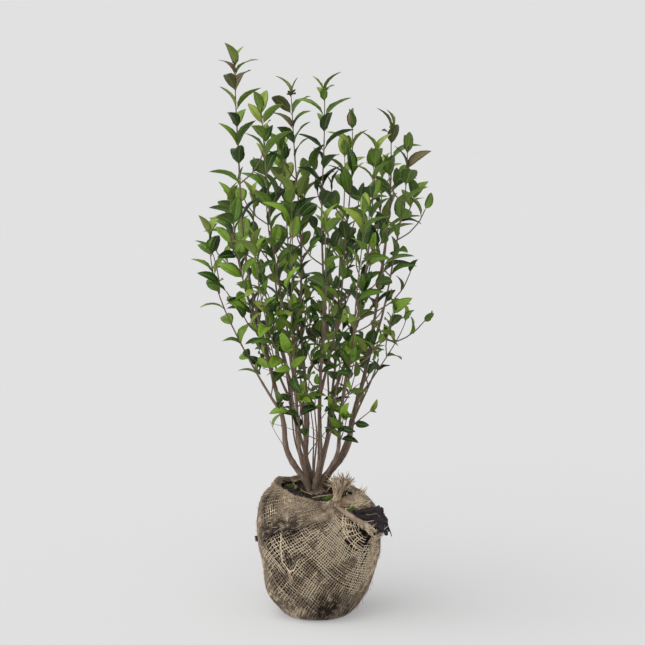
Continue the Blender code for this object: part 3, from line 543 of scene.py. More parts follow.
class Finish(Tree):
    """A material with one Principled shader."""

    def __init__(self, name, roughness, specular=0.5):
        self.material = bpy.data.materials.new(name)
        self.material.use_nodes = True
        super().__init__(self.material.node_tree)
        self.shade("Roughness", roughness)
        self.shade("Specular IOR Level", specular)

    def shade(self, name, value):
        """Sets or links a socket of the shader itself."""
        self.put(self.tree.nodes["Principled BSDF"].inputs[name], value)

    def attribute(self, name):
        """A number that the mesh holds at its corners."""
        return self.value("ShaderNodeAttribute", {"attribute_name": name}, output="Fac")

    def place(self):
        return self.value("ShaderNodeTexCoord", output="Object")

    def stretched(self, coordinates, scale):
        """The coordinates scaled along each axis."""
        return self.value("ShaderNodeMapping", None, {"Vector": coordinates, "Scale": scale})

    def noise(self, coordinates, scale, detail=4.0, roughness=0.55):
        sockets = {"Vector": coordinates, "Scale": scale, "Detail": detail, "Roughness": roughness}
        return self.value("ShaderNodeTexNoise", None, sockets)

    def spots(self, coordinates, scale):
        """Distance to the nearest of many scattered points."""
        sockets = {"Vector": coordinates, "Scale": scale}
        return self.value("ShaderNodeTexVoronoi", None, sockets, "Distance")

    def layered(self, tone, *layers):
        """A colour with others laid over it in turn, each by its share."""
        for colour, share in layers:
            sockets = {0: share, 6: tone, 7: colour}
            tone = self.value("ShaderNodeMix", {"data_type": "RGBA"}, sockets, 2)
        return tone

    def colour(self, tone, *layers):
        self.shade("Base Color", self.layered(tone, *layers))

    def bump(self, height, strength, distance):
        sockets = {"Height": height, "Strength": strength, "Distance": distance}
        self.shade("Normal", self.value("ShaderNodeBump", None, sockets))


def shaded(colour, share):
    """A colour made darker or lighter."""
    return [channel * share for channel in colour]


def blended(first, share, second):
    """A colour between two, with a share of the first."""
    return [share * a + (1 - share) * b for a, b in zip(first, second)]


def plain_finish(name, colour, roughness):
    """A finish of one colour, for things too small to show a pattern."""
    finish = Finish(name, roughness)
    finish.colour(colour)
    return finish.material


def leaf_finish(name, upper, under, rib):
    """A blade with a pale midrib, side veins and quilting, and a dull underside."""
    finish = Finish(name, LEAF_GLOSS, specular=0.21)
    chart = finish.value("ShaderNodeUVMap", {"uv_map": BAKE_MAP})
    parts = finish.add("ShaderNodeSeparateXYZ", None, {0: chart}).outputs
    along, side = Value(finish, parts["X"]), Value(finish, parts["Y"])
    below = side.above(CHART_UNDER)
    across = abs((side - below * CHART_UNDER - CHART_MIDDLE) / CHART_HALF)
    midrib = 1 - across.rising(0.03, 0.11)
    run = (along * 9.0 - across * 1.15).fraction()
    vein = abs(run - 0.5).rising(0.36, 0.5) * (1 - across.rising(0.75, 1.0))
    mottle = finish.noise(finish.stretched(chart, (6.0, 9.0, 1.0)), 1.0)
    light = finish.layered(
        upper,
        (shaded(upper, 1.45), mottle.rising(0.35, 0.75) * 0.6),
        (rib, vein * 0.22),
        (shaded(upper, 0.62), across.rising(0.80, 1.0) * 0.7),
        (rib, midrib * 0.75),
    )
    dull = finish.layered(
        under,
        (shaded(under, 0.80), mottle.rising(0.3, 0.7)),
        (rib, (midrib * 0.8 + vein * 0.25).clamped()),
    )
    stalk = [0.5 * (rib[0] + 0.20), 0.6 * rib[1], rib[2]]
    finish.colour(
        light,
        (dull, below),
        (stalk, 1 - along.rising(0.07, 0.11)),
        ((0.05, 0.035, 0.02), along.rising(0.955, 1.0) * 0.7),
    )
    finish.shade("Roughness", LEAF_GLOSS + below * 0.22 + mottle * 0.10)
    finish.bump(vein * -1.0 - midrib * 1.5 + mottle * 0.5, 0.35, 0.0004)
    return finish.material


def bark_finish(name, colours):
    """Grey-brown bark with light streaks, mauve on young wood."""
    finish = Finish(name, 0.72)
    place, youth = finish.place(), finish.attribute("youth")
    streak = finish.noise(finish.stretched(place, (420.0, 420.0, 34.0)), 1.0, 5.0)
    patch = finish.noise(place, 60.0)
    pore = finish.spots(finish.stretched(place, (700.0, 700.0, 240.0)), 1.0)
    old = finish.layered(
        colours.bark_old,
        (colours.bark_pale, streak.rising(0.46, 0.72) * 0.75),
        (shaded(colours.bark_old, 0.45), patch.rising(0.52, 0.75) * 0.65),
    )
    young = finish.layered(
        colours.bark_young,
        (colours.bark_pale, streak.rising(0.5, 0.8) * 0.4),
        (GREEN_WOOD, youth.rising(0.72, 1.0) * 0.55),
    )
    finish.colour(
        old,
        (young, youth.rising(0.25, 0.6)),
        (colours.bark_pale, (1 - pore.rising(0.10, 0.22)) * 0.5),
    )
    finish.shade("Roughness", 0.78 - youth * 0.25)
    finish.bump(streak + pore * 0.3, 0.6, 0.0006)
    return finish.material


def soil_finish(name, dark, dry):
    """Rough peaty soil with drier grains and damp patches. On the peat flap the pale grains are
    partly painted highlights on its crinkles.
    """
    finish = Finish(name, 0.95)
    place = finish.place()
    grain = finish.noise(place, 420.0, 6.0, 0.7)
    damp = finish.noise(place, 55.0).rising(0.5, 0.7)
    finish.colour(dark, (dry, grain.rising(0.50, 0.70) * 0.75), (shaded(dark, 0.5), damp * 0.6))
    finish.bump(grain, 0.8, 0.0012)
    return finish.material


def cloth_finish(name, colours):
    """Between the threads: dusty lint where the weave is close, dark soil where it is open, on a
    brown ground darker than the threads that is partly painted shade between them.
    """
    finish = Finish(name, 0.95, specular=0.1)
    place = finish.place()
    shown, stain = finish.attribute("open"), finish.attribute("stain")
    dust = finish.noise(place, 34.0, 5.0, 0.6)
    fibre = finish.noise(place, 360.0, 4.0, 0.8)
    spots = finish.noise(place, 290.0, 3.0, 0.7)
    # The brown ground, the dark fibre specks and the soil-dark spots are partly soil and damp fibre
    # showing between the threads and partly painted shade in the gaps between them.
    finish.colour(
        colours.thread_brown,
        (colours.thread_tan, dust.rising(0.36, 0.60)),
        (colours.thread_pale, fibre.rising(0.50, 0.70) * 0.4),
        (colours.thread_pale, (1 - shown * 4.0).clamped() * dust.rising(0.40, 0.62) * 0.34),
        (colours.thread_dark, (1 - fibre.rising(0.38, 0.52)) * 0.75),
        # Stains darken it here, and so does the painted shade at the ball's foot.
        (colours.thread_dark, (stain * 1.5 + (spots - 0.5) * 2.4 - 0.35).clamped() * 0.9),
        (colours.soil_dark, (1 - spots.rising(0.30, 0.38)) * 0.8),
        (colours.thread_pale, (stain * -0.6).clamped()),
        (colours.soil_dark, (shown * 2.4 + (dust - 0.5) * 1.2 - 0.14).clamped()),
    )
    finish.bump(fibre + dust * 0.6, 0.7, 0.0008)
    return finish.material


def lint_finish(name, colours):
    """Loose gathered cloth: tan fibre with paler streaks and rusty, damp patches."""
    finish = Finish(name, 0.95, specular=0.1)
    place = finish.place()
    patch = finish.noise(place, 46.0, 4.0, 0.6)
    fibre = finish.noise(finish.stretched(place, (900.0, 900.0, 260.0)), 1.0, 3.0, 0.75)
    rust = finish.noise(place, 21.0)
    finish.colour(
        colours.thread_tan,
        (colours.thread_pale, patch.rising(0.40, 0.62) * 0.65),
        (colours.thread_rust, rust.rising(0.52, 0.66) * 0.6),
        (colours.thread_brown, (1 - fibre.rising(0.34, 0.56)) * 0.7),
    )
    finish.bump(fibre, 0.9, 0.0009)
    return finish.material


# Mesh helpers


def smooth_step(low, high, value):
    """Nought at low and one at high, smooth between."""
    share = np.clip((value - low) / (high - low), 0.0, 1.0)
    return share * share * (3 - 2 * share)


def level_way(at):
    """The level direction out from the middle of the plant."""
    return Vector((at.x, at.y, 0.0)).normalized()


def any_way(rng, low=-1.0, high=1.0):
    """A random direction, its upward part between low and high."""
    return Vector((rng.uniform(-1, 1), rng.uniform(-1, 1), rng.uniform(low, high)))


def curved(marks, start, bend, end):
    """Points on the curve that leaves the start for the bend and comes to the end."""
    start, bend, end = np.array(start), np.array(bend), np.array(end)
    return (1 - marks) ** 2 * start + 2 * marks * (1 - marks) * bend + marks**2 * end


def add_piece(mesh, name, slot, materials, nodes=()):
    """A finished piece: its mesh, its finish, and what it stands for."""
    obj = bpy.data.objects.new(name, mesh)
    bpy.context.scene.collection.objects.link(obj)
    for finish in materials:
        mesh.materials.append(finish)
    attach(obj, BODY)
    if nodes:
        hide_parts(*nodes)
    return obj


def thickened(piece, thickness, offset):
    """Gives a sheet its thickness."""
    sheet = piece.modifiers.new("Thickness", "SOLIDIFY")
    sheet.thickness = thickness
    sheet.offset = offset


def mesh_of(bm, name, smooth=True):
    """The bmesh as a mesh, which takes the bmesh's place."""
    for face in bm.faces:
        face.smooth = smooth
    mesh = bpy.data.meshes.new(name)
    bm.to_mesh(mesh)
    bm.free()
    return mesh


def taken_in(bm, mesh):
    """Adds a mesh to a bmesh, in its place. Gives the corners that it brought."""
    before = len(bm.verts)
    bm.from_mesh(mesh)
    bm.verts.ensure_lookup_table()
    bpy.data.meshes.remove(mesh)
    return bm.verts[before:]


def array_mesh(points, faces, name):
    """A mesh from an array of points and lists of their numbers."""
    mesh = bpy.data.meshes.new(name)
    mesh.from_pydata(points.reshape(-1, 3).tolist(), [], faces)
    mesh.update()
    return mesh


def turned(profile, steps):
    """A profile of (radius, height) points turned about the vertical axis, closed."""
    bm = bmesh.new()
    points = [bm.verts.new((radius, 0.0, height)) for radius, height in profile]
    edges = [bm.edges.new(pair) for pair in zip(points, points[1:])]
    bmesh.ops.spin(
        bm, geom=points + edges, cent=(0, 0, 0), axis=(0, 0, 1), dvec=(0, 0, 0),
        angle=math.tau, steps=steps, use_merge=True, use_duplicate=False,
    )
    bmesh.ops.remove_doubles(bm, verts=bm.verts, dist=1e-6)
    bmesh.ops.recalc_face_normals(bm, faces=bm.faces)
    return bm


def swept(bm, places):
    """Draws the ring in the bmesh up through places, one after another. Gives its last ring."""
    ring, last = list(bm.edges), Matrix.Identity(4)
    for k, place in enumerate(places):
        if k:
            made = bmesh.ops.extrude_edge_only(bm, edges=ring)["geom"]
            ring = [item for item in made if isinstance(item, bmesh.types.BMEdge)]
            ring = [edge for edge in ring if len(edge.link_faces) == 1]
        moved = list({vertex for edge in ring for vertex in edge.verts})
        bmesh.ops.transform(bm, matrix=place @ last.inverted(), verts=moved)
        last = place
    return ring


def strand_mesh(strands, sides, name):
    """Thin closed tubes along many paths, as one mesh with a tint to each face."""
    corners, faces, tints = [], [], []
    ring = np.arange(sides)
    turn = math.tau * ring / sides
    circle = np.stack((np.cos(turn), np.sin(turn)), axis=1)
    start = 0
    for strand in strands:
        points = np.asarray(strand.points, dtype=float)
        count = len(points)
        if count < 2:
            continue
        ways = np.gradient(points, axis=0)
        ways /= np.maximum(np.linalg.norm(ways, axis=1, keepdims=True), 1e-9)
        steady = np.eye(3)[np.argmin(np.abs(ways).mean(axis=0))]
        first = np.cross(ways, steady)
        first /= np.maximum(np.linalg.norm(first, axis=1, keepdims=True), 1e-9)
        second = np.cross(ways, first)
        radii = np.broadcast_to(np.asarray(strand.radii, dtype=float), (count,))
        out = circle[None, :, :1] * first[:, None] + circle[None, :, 1:] * second[:, None]
        corners.append((points[:, None] + out * radii[:, None, None]).reshape(-1, 3))
        base = start + sides * np.arange(count - 1)[:, None]
        low, high = base + ring, base + (ring + 1) % sides
        faces += np.stack((low, high, high + sides, low + sides), axis=2).reshape(-1, 4).tolist()
        faces.append((start + ring[::-1]).tolist())
        faces.append((start + sides * (count - 1) + ring).tolist())
        along = np.broadcast_to(np.asarray(strand.tint), (count,))[:-1]
        tints.append(np.repeat(along, sides))
        tints.append([along[0], along[-1]])
        start += sides * count
    mesh = array_mesh(np.concatenate(corners), faces, name)
    mesh.polygons.foreach_set("material_index", np.concatenate(tints).astype(np.int32))
    mesh.polygons.foreach_set("use_smooth", np.ones(len(faces), dtype=bool))
    mesh.update()
    return mesh


def strand_piece(strands, sides, name, slot, finishes):
    """Many strands as one piece, with a finish for each tint."""
    add_piece(strand_mesh(strands, sides, name), name, slot, finishes)


# Growth, by the rule of the solids


def foot_of(shoot):
    """Where a shoot leaves its carrier."""
    if shoot.carrier:
        return axis_point(SHOOTS[shoot.carrier - 1], shoot.fork)
    outward = level_way(shoot.tip)
    return outward * FOOT_SPREAD + Vector((0.0, 0.0, FOOT_HEIGHT))


def climbed(shoot, height):
    """The share of a shoot's rise, from its foot to its tip, at a height."""
    foot = foot_of(shoot).z
    return min(max((height - foot) / (shoot.tip.z - foot), 0.0), 1.0)


def axis_point(shoot, height):
    """A point on a shoot's axis. It swings out from its foot ever less as it climbs."""
    foot = foot_of(shoot)
    rise = shoot.tip.z - foot.z
    share = climbed(shoot, height)
    out = 1 - (1 - share) ** shoot.settle
    sway = STEM_WAVE * math.sin(math.pi * share) * min(1.0, rise / WAVE_FULL_ON)
    turn = WAVE_START * shoot.number + WAVE_WIND * (height - foot.z)
    spread, shift = (1.0, 0.0) if shoot.carrier else parted(height - foot.z)
    return Vector(
        (
            shift + spread * (foot.x + (shoot.tip.x - foot.x) * out + sway * math.cos(turn)),
            spread * (foot.y + (shoot.tip.y - foot.y) * out + sway * math.sin(turn)),
            foot.z + rise * share,
        )
    )


def parted(rise):
    """How far apart the stems are over the stool, close and then bowed out, and their shift."""
    close = FOOT_CLOSE * math.exp(-((max(rise, 0.0) / CLOSE_RISE) ** 1.3))
    bow = FOOT_BOW * math.exp(-(((rise - BOW_AT) / BOW_RISE) ** 2))
    shift = FOOT_SHIFT * math.exp(-((max(rise, 0.0) / SHIFT_RISE) ** 2))
    return 1 - close + bow, shift


def axis_direction(shoot, height):
    """The way that a shoot runs at a height."""
    reach = 0.004
    return (axis_point(shoot, height + reach) - axis_point(shoot, height - reach)).normalized()


def climb(shoot, height, distance):
    """The height reached after a distance along the axis."""
    return height + distance * max(axis_direction(shoot, height).z, 0.2)


def axis_radius(shoot, height):
    """The stem's radius, which tapers to its tip and flares a little at its foot."""
    flare = 1 + STEM_FLARE * math.exp((foot_of(shoot).z - height) / STEM_FLARE_HEIGHT)
    taper = (shoot.radius - STEM_TIP_RADIUS) * (1 - climbed(shoot, height))
    return (STEM_TIP_RADIUS + taper) * flare


def even_run(low, high, step):
    """Evenly spaced heights from low to high, both included."""
    count = max(2, round((high - low) / step))
    return [low + (high - low) * k / count for k in range(count + 1)]


def on_twig(twig, marks, mark):
    """The point of a twig's straight runs at a mark between those of its points."""
    k = max(i for i in range(len(marks) - 1) if marks[i] <= mark or i == 0)
    return twig.points[k].lerp(twig.points[k + 1], (mark - marks[k]) / (marks[k + 1] - marks[k]))


def leafy_start(shoot):
    """The height that a shoot's leaves start at."""
    return shoot.bare + 0.0003 if shoot.bare else foot_of(shoot).z


def leafy_axes():
    """For each shoot, a search tree over points along its leafy length."""
    trees = {}
    for shoot in SHOOTS:
        heights = even_run(leafy_start(shoot), shoot.tip.z, SPACE_STEP)
        tree = KDTree(len(heights))
        for k, height in enumerate(heights):
            tree.insert(axis_point(shoot, height), k)
        tree.balance()
        trees[shoot.number] = tree
    return trees


def in_space(shoot, points, axes):
    """Whether every point is in the crown, and nearer this shoot's axis than any other's."""
    for point in points:
        if not CROWN_LEFT < point.x < CROWN_RIGHT or abs(point.y) > CROWN_DEPTH:
            return False
        own = axes[shoot.number].find(point)[2] + SPACE_MARGIN
        if any(axes[n].find(point)[2] < own for n in axes if n != shoot.number):
            return False
    return True


def crown_sides(height):
    """How far the crown reaches left and right at a height."""
    sides = (CROWN_LEFTS, CROWN_RIGHTS)
    return [np.interp(height, CROWN_HEIGHTS, side) for side in sides]


def in_crown(point):
    """Whether a point is within the crown's outline at its height."""
    left, right = crown_sides(point.z)
    depth = CROWN_DEPTH * (right - left) / (CROWN_RIGHT - CROWN_LEFT)
    across = (point.x - (left + right) / 2) / ((right - left) / 2)
    return across**2 + (point.y / depth) ** 2 < 1.0


def leaf_place(at, along, outward, angle, roll):
    """Where a leaf lies: its length out from the stem, its upper face to the shoot's tip."""
    length = (along * math.cos(angle) + outward * math.sin(angle)).normalized()
    upper = (along - length * along.dot(length)).normalized()
    upper = Matrix.Rotation(roll, 3, length) @ upper
    across = upper.cross(length)
    turn = Matrix((length, across, upper)).transposed().to_4x4()
    return Matrix.Translation(at) @ turn


def leaf_reach(leaf):
    """The blade's tip and its two sides."""
    half = leaf.width / 2
    arch = leaf.length * leaf.droop
    lift = arch / 2 + half * leaf.fold
    return (
        leaf.place @ Vector((leaf.length, 0.0, -arch)),
        leaf.place @ Vector((leaf.length * LEAF_WIDEST_AT, half, lift)),
        leaf.place @ Vector((leaf.length * LEAF_WIDEST_AT, -half, lift)),
    )


class Grower:
    """Grows the shoots, with the sizes that the user set."""

    def __init__(self, sizes):
        self.sizes = sizes
        self.axes = leafy_axes()
        self.twigs = []
        self.leaves = []
        self.extras = []
        self.free = False

    def leaf_size(self, height):
        """Low leaves are old and small, and those high in the light are full size."""
        grown = smooth_step(*GROWN, height) - 0.55 * smooth_step(*STUNTED, height)
        return self.sizes.leaf_length * (LEAF_LOW_SHARE + (1 - LEAF_LOW_SHARE) * grown)

    def fits(self, shoot, points):
        """Whether points are in the shoot's space, or for a low twig in the crown."""
        if self.free:
            return all(in_crown(point) for point in points)
        for point in points:
            left, right = crown_sides(point.z)
            if not left - OUTLINE_MARGIN < point.x < right + OUTLINE_MARGIN:
                return False
        return in_space(shoot, points, self.axes)

    def fitted_leaf(self, shoot, at, along, outward, size, angle, draws, share, last=False):
        """Adds the leaf as it fits its shoot's space. A twig's last leaves are always there."""
        for part, lift in LEAF_FITS:
            roll = LEAF_ROLL * (draws[0] - 0.5)
            place = leaf_place(at, along, outward, angle - math.radians(lift), roll)
            length = size * part
            width = length * self.slimness(at.z) * (0.88 + 0.24 * draws[1])
            fold, droop = 0.22 + 0.26 * draws[2], 0.08 + 0.12 * draws[3]
            leaf = Leaf(place, length, width, fold, droop, share, at.z, shoot.number)
            if self.fits(shoot, leaf_reach(leaf)) or last and part == LEAF_FITS[-1][0]:
                self.leaves.append(leaf)
                return

    def side_twig(self, shoot, at, along, outward, rng, share):
        """A short twig that leaves aslant and turns up, with its leaves."""
        length = SIDE_TWIG_LENGTH * rng.uniform(0.65, 1.2)
        turn = rng.uniform(0.0, math.pi)
        draws = [[rng.random() for _ in range(6)] for _ in range(SIDE_TWIG_PAIRS)]
        for part in SIDE_TWIG_FITS:
            reach = length * part
            points = [
                at
                + outward * reach * 0.62 * math.sin(t * 1.35)
                + along * reach * 0.45 * (t + t * t)
                for t in SIDE_TWIG_MARKS
            ]
            if self.fits(shoot, points[2:]):
                break
        else:
            return False
        twig = Twig(points, SIDE_TWIG_RADII)
        self.twigs.append(twig)
        run = SIDE_TWIG_STEP
        for pair in draws:
            last = run > reach - 0.006
            mark = 0.98 if last else run / reach
            spot = on_twig(twig, SIDE_TWIG_MARKS, mark)
            way = (spot - on_twig(twig, SIDE_TWIG_MARKS, mark - 0.05)).normalized()
            for k, opposite in enumerate((0.0, math.pi)):
                draw = pair[3 * k : 3 * k + 3]
                side = outward_at(way, turn + opposite)
                angle = math.radians(30 if last else 56) + 0.25 * (draw[0] - 0.5)
                size = self.leaf_size(spot.z) * (0.70 + 0.22 * draw[1])
                self.fitted_leaf(shoot, spot, way, side, size, angle, draw + [draw[0]], share, last)
            if last:
                break
            run += SIDE_TWIG_STEP
            turn += math.pi / 2
        return True

    def slimness(self, height):
        """Low leaves are rounder, and those at the top slimmer."""
        slimmer = smooth_step(*SLIM_LOW, height) * 0.14
        rounder = 1.14 - slimmer - 0.14 * smooth_step(*SLIM_HIGH, height)
        return self.sizes.leaf_slimness * rounder

    def grow_low(self, shoot):
        """Short leafy twigs on the limb below its leafy length, fewer lower down."""
        rng = random.Random(FINE_SEED + 50 + shoot.number)
        self.free = True
        height = max(foot_of(shoot).z + 0.03, LOW_FROM)
        while height < leafy_start(shoot) - 0.008:
            at, along = axis_point(shoot, height), axis_direction(shoot, height)
            turn = rng.uniform(0.0, math.pi)
            for opposite in (0.0, math.pi):
                if rng.random() < LOW_CHANCE * smooth_step(*LOW_RISE, height):
                    outward = outward_at(along, turn + opposite)
                    self.side_twig(shoot, at, along, outward, rng, 0.0)
            height = climb(shoot, height, INTERNODE * rng.uniform(0.6, 0.95))
        self.free = False

    def tip_growth(self, shoot):
        """Small clasping leaves at a shoot's tip, and dried heads on a few shoots."""
        rng = random.Random(FINE_SEED + 70 + shoot.number)
        along = axis_direction(shoot, shoot.tip.z - TIP_PAIR_DROP)
        turn = rng.uniform(0.0, math.pi)
        for k in range(4):
            outward = outward_at(along, turn + 1.9 * k)
            angle, length = math.radians(rng.uniform(8, 26)), rng.uniform(0.009, 0.018)
            place = leaf_place(shoot.tip - along * 0.001 * k, along, outward, angle, 0.0)
            size = (length, length * 0.36)
            self.leaves.append(Leaf(place, *size, 0.7, 0.22, 0.97, shoot.tip.z, shoot.number))
        for _ in range(DRIED_HEADS.get(shoot.number, 0)):
            way = along + any_way(rng, -0.3, 0.6) * 0.7
            head = wisp(shoot.tip, way, rng.uniform(0.006, 0.016), 0.25, 0.001, DRIED, rng)
            radii = 0.001 * np.array((0.5, 0.5, 0.6, 1.2, 1.9, 1.1))
            self.extras.append(head._replace(radii=radii))

    def thin_stems(self):
        """Thin stems from the stool, and dead twiglets that cross between the limbs."""
        rng = random.Random(FINE_SEED + 90)
        self.free = True
        for number in range(THIN_STEMS):
            turn = math.tau * (number + rng.uniform(-0.3, 0.3)) / THIN_STEMS
            outward = Vector((math.cos(turn), 0.8 * math.sin(turn), 0.0))
            rise, reach = rng.uniform(0.12, 0.33), rng.uniform(0.25, 0.46)
            side = -1.3 if number % 2 else 0.8
            foot = outward * side * rng.uniform(0.004, 0.011)
            foot += Vector((FOOT_SHIFT, 0.0, SOIL_TOP - 0.002))
            points = []
            for mark in np.linspace(0.0, 1.0, 12):
                sway = 0.004 * math.sin(9 * mark + number) * mark
                lean = Vector((sway, sway * math.cos(number), rise * mark))
                points.append(foot + outward * (rise * reach * mark**0.8) + lean)
            radius = rng.uniform(0.0013, 0.0029)
            tint = rng.choice((OLD_WOOD, OLD_WOOD, YOUNG_WOOD))
            self.bare_twig(points, radius, tint, rng, 0.6)
        for number in range(TWIGLETS):
            shoot = SHOOTS[rng.randrange(len(STEM_NODES))]
            height = rng.uniform(0.275, 0.47)
            if foot_of(shoot).z > height - 0.01 or leafy_start(shoot) < height:
                continue
            along = axis_direction(shoot, height)
            outward = outward_at(along, rng.uniform(0.0, math.tau))
            way = along * rng.uniform(0.4, 1.3) + outward
            length, at = rng.uniform(0.035, 0.11), axis_point(shoot, height)
            twig = wisp(at, way, length, 0.10, 0.001, OLD_WOOD, rng)
            points = [Vector(point) for point in twig.points]
            self.bare_twig(points, rng.uniform(0.0007, 0.0012), OLD_WOOD, rng, 0.45)
        self.free = False

    def bare_twig(self, points, radius, tint, rng, leafy):
        """One thin twig, kept within the crown, with a few small dark leaves near its tip."""
        while len(points) > 3 and not in_crown(points[-1]):
            points.pop()
        taper = np.linspace(1.0, 0.45, len(points)) * radius
        self.extras.append(Strand([point[:] for point in points], taper, tint))
        if rng.random() < leafy and points[-1].z > 0.34:
            way, turn = (points[-1] - points[-2]).normalized(), rng.uniform(0.0, math.pi)
            for k, at in enumerate((points[-1], points[-1], points[-2], points[-2])):
                draws = [rng.random() for _ in range(4)]
                outward = outward_at(way, turn + math.pi * k + math.pi / 2 * (k > 1))
                size = rng.uniform(0.020, 0.036)
                self.fitted_leaf(SHOOTS[2], at, way, outward, size, 0.9, draws, 0.0)

    def grow_shoot(self, shoot):
        """The twigs and leaves of one shoot, in opposite pairs a quarter turn apart."""
        rng = random.Random(SEED + shoot.number)
        finer = random.Random(FINE_SEED + shoot.number)
        start = leafy_start(shoot)
        run = even_run(start, shoot.tip.z, SHOOT_STEP)
        main = Twig([axis_point(shoot, z) for z in run], None)
        turn = rng.choice((0.0, math.pi / 2)) + rng.uniform(-TURN_START, TURN_START)
        height = climb(shoot, start, FIRST_NODE)
        while height < shoot.tip.z - LAST_NODE:
            share = (height - start) / (shoot.tip.z - start)
            at, along = on_twig(main, run, height), axis_direction(shoot, height)
            for opposite in (0.0, math.pi):
                draws = [rng.random() for _ in range(7)]
                outward = outward_at(along, turn + opposite)
                below = share < SIDE_TWIG_BELOW
                more = 1 + LOW_MORE * (1 - smooth_step(*GROWN, height))
                if draws[4] < SIDE_TWIG_CHANCE and below:
                    if self.side_twig(shoot, at, along, outward, rng, share):
                        continue
                elif draws[4] < SIDE_TWIG_CHANCE + self.sizes.fine_twigs * more and below:
                    self.side_twig(shoot, at, along, outward, finer, share)
                young = 1 - YOUNG_FALL * smooth_step(0.90, 1.0, share)
                size = self.leaf_size(height) * young * (0.88 + 0.24 * draws[5])
                angle = LEAF_ANGLE - LEAF_ANGLE_FALL * share + LEAF_ANGLE_SPREAD * (draws[6] - 0.5)
                self.fitted_leaf(shoot, at, along, outward, size, math.radians(angle), draws, share)
            turn += math.pi / 2 + rng.uniform(-TURN_SPREAD, TURN_SPREAD)
            stride = INTERNODE * rng.uniform(0.9, 1.1) * (1 - INTERNODE_SHRINK * share**4)
            height = climb(shoot, height, stride)
        along = axis_direction(shoot, shoot.tip.z - TIP_PAIR_DROP)
        at = shoot.tip - along * TIP_PAIR_DROP
        for opposite in (0.0, math.pi):
            draws = [rng.random() for _ in range(4)]
            outward = outward_at(along, turn + opposite)
            least, more = TIP_PAIR_SHARES
            size = self.leaf_size(shoot.tip.z) * (least + more * draws[3])
            angle = math.radians(TIP_PAIR_ANGLE)
            self.fitted_leaf(shoot, at, along, outward, size, angle, draws, 1.0)


def outward_at(along, turn):
    """A unit vector square to the stem, turned round it from the +X side."""
    side = Vector((1.0, 0.0, 0.0))
    side = (side - along * side.dot(along)).normalized()
    return Matrix.Rotation(turn, 3, along) @ side


# Leaves


def half_width(share):
    """A blade's half width along its length: a thin stalk, then a pointed ellipse."""
    stalk = LEAF_MARKS[1]
    run = np.clip((share - stalk) / (1 - stalk), 0.0, 1.0)
    blade = 2.72 * np.power(run, 0.62) * np.power(1 - run, 0.85)
    return np.maximum(np.minimum(blade, 1.0), np.where(share < 0.99, 0.045, 0.0))


def leaf_template():
    """A closed blade of two sheets that share their outline: (share, side, face) points."""
    bm = bmesh.new()
    runs, halves = len(LEAF_MARKS) - 1, len(LEAF_HALVES) - 1
    bmesh.ops.create_grid(bm, x_segments=runs, y_segments=halves, size=0.5)
    chart = bm.loops.layers.uv.new(BAKE_MAP)
    for vertex in bm.verts:
        mark = LEAF_MARKS[round((vertex.co.x + 0.5) * runs)]
        side = LEAF_HALVES[round((vertex.co.y + 0.5) * halves)]
        vertex.co = (mark, side, 0.0 if abs(side) == 1.0 or mark in (0.0, 1.0) else 1.0)
    for face in bm.faces:
        for loop in face.loops:
            loop[chart].uv = (loop.vert.co.x, CHART_MIDDLE + CHART_HALF * loop.vert.co.y)
    made = bmesh.ops.duplicate(bm, geom=bm.verts[:] + bm.edges[:] + bm.faces[:])["geom"]
    under = [item for item in made if isinstance(item, bmesh.types.BMFace)]
    for vertex in {vertex for face in under for vertex in face.verts}:
        vertex.co.z = -vertex.co.z
    for face in under:
        for loop in face.loops:
            loop[chart].uv.y += CHART_UNDER
    bmesh.ops.reverse_faces(bm, faces=under)
    bmesh.ops.remove_doubles(bm, verts=bm.verts, dist=1e-5)
    tips = [vertex for vertex in bm.verts if vertex.co.x == 1.0]
    bmesh.ops.pointmerge(bm, verts=tips, merge_co=(1.0, 0.0, 0.0))
    bm.verts.ensure_lookup_table()
    return bm


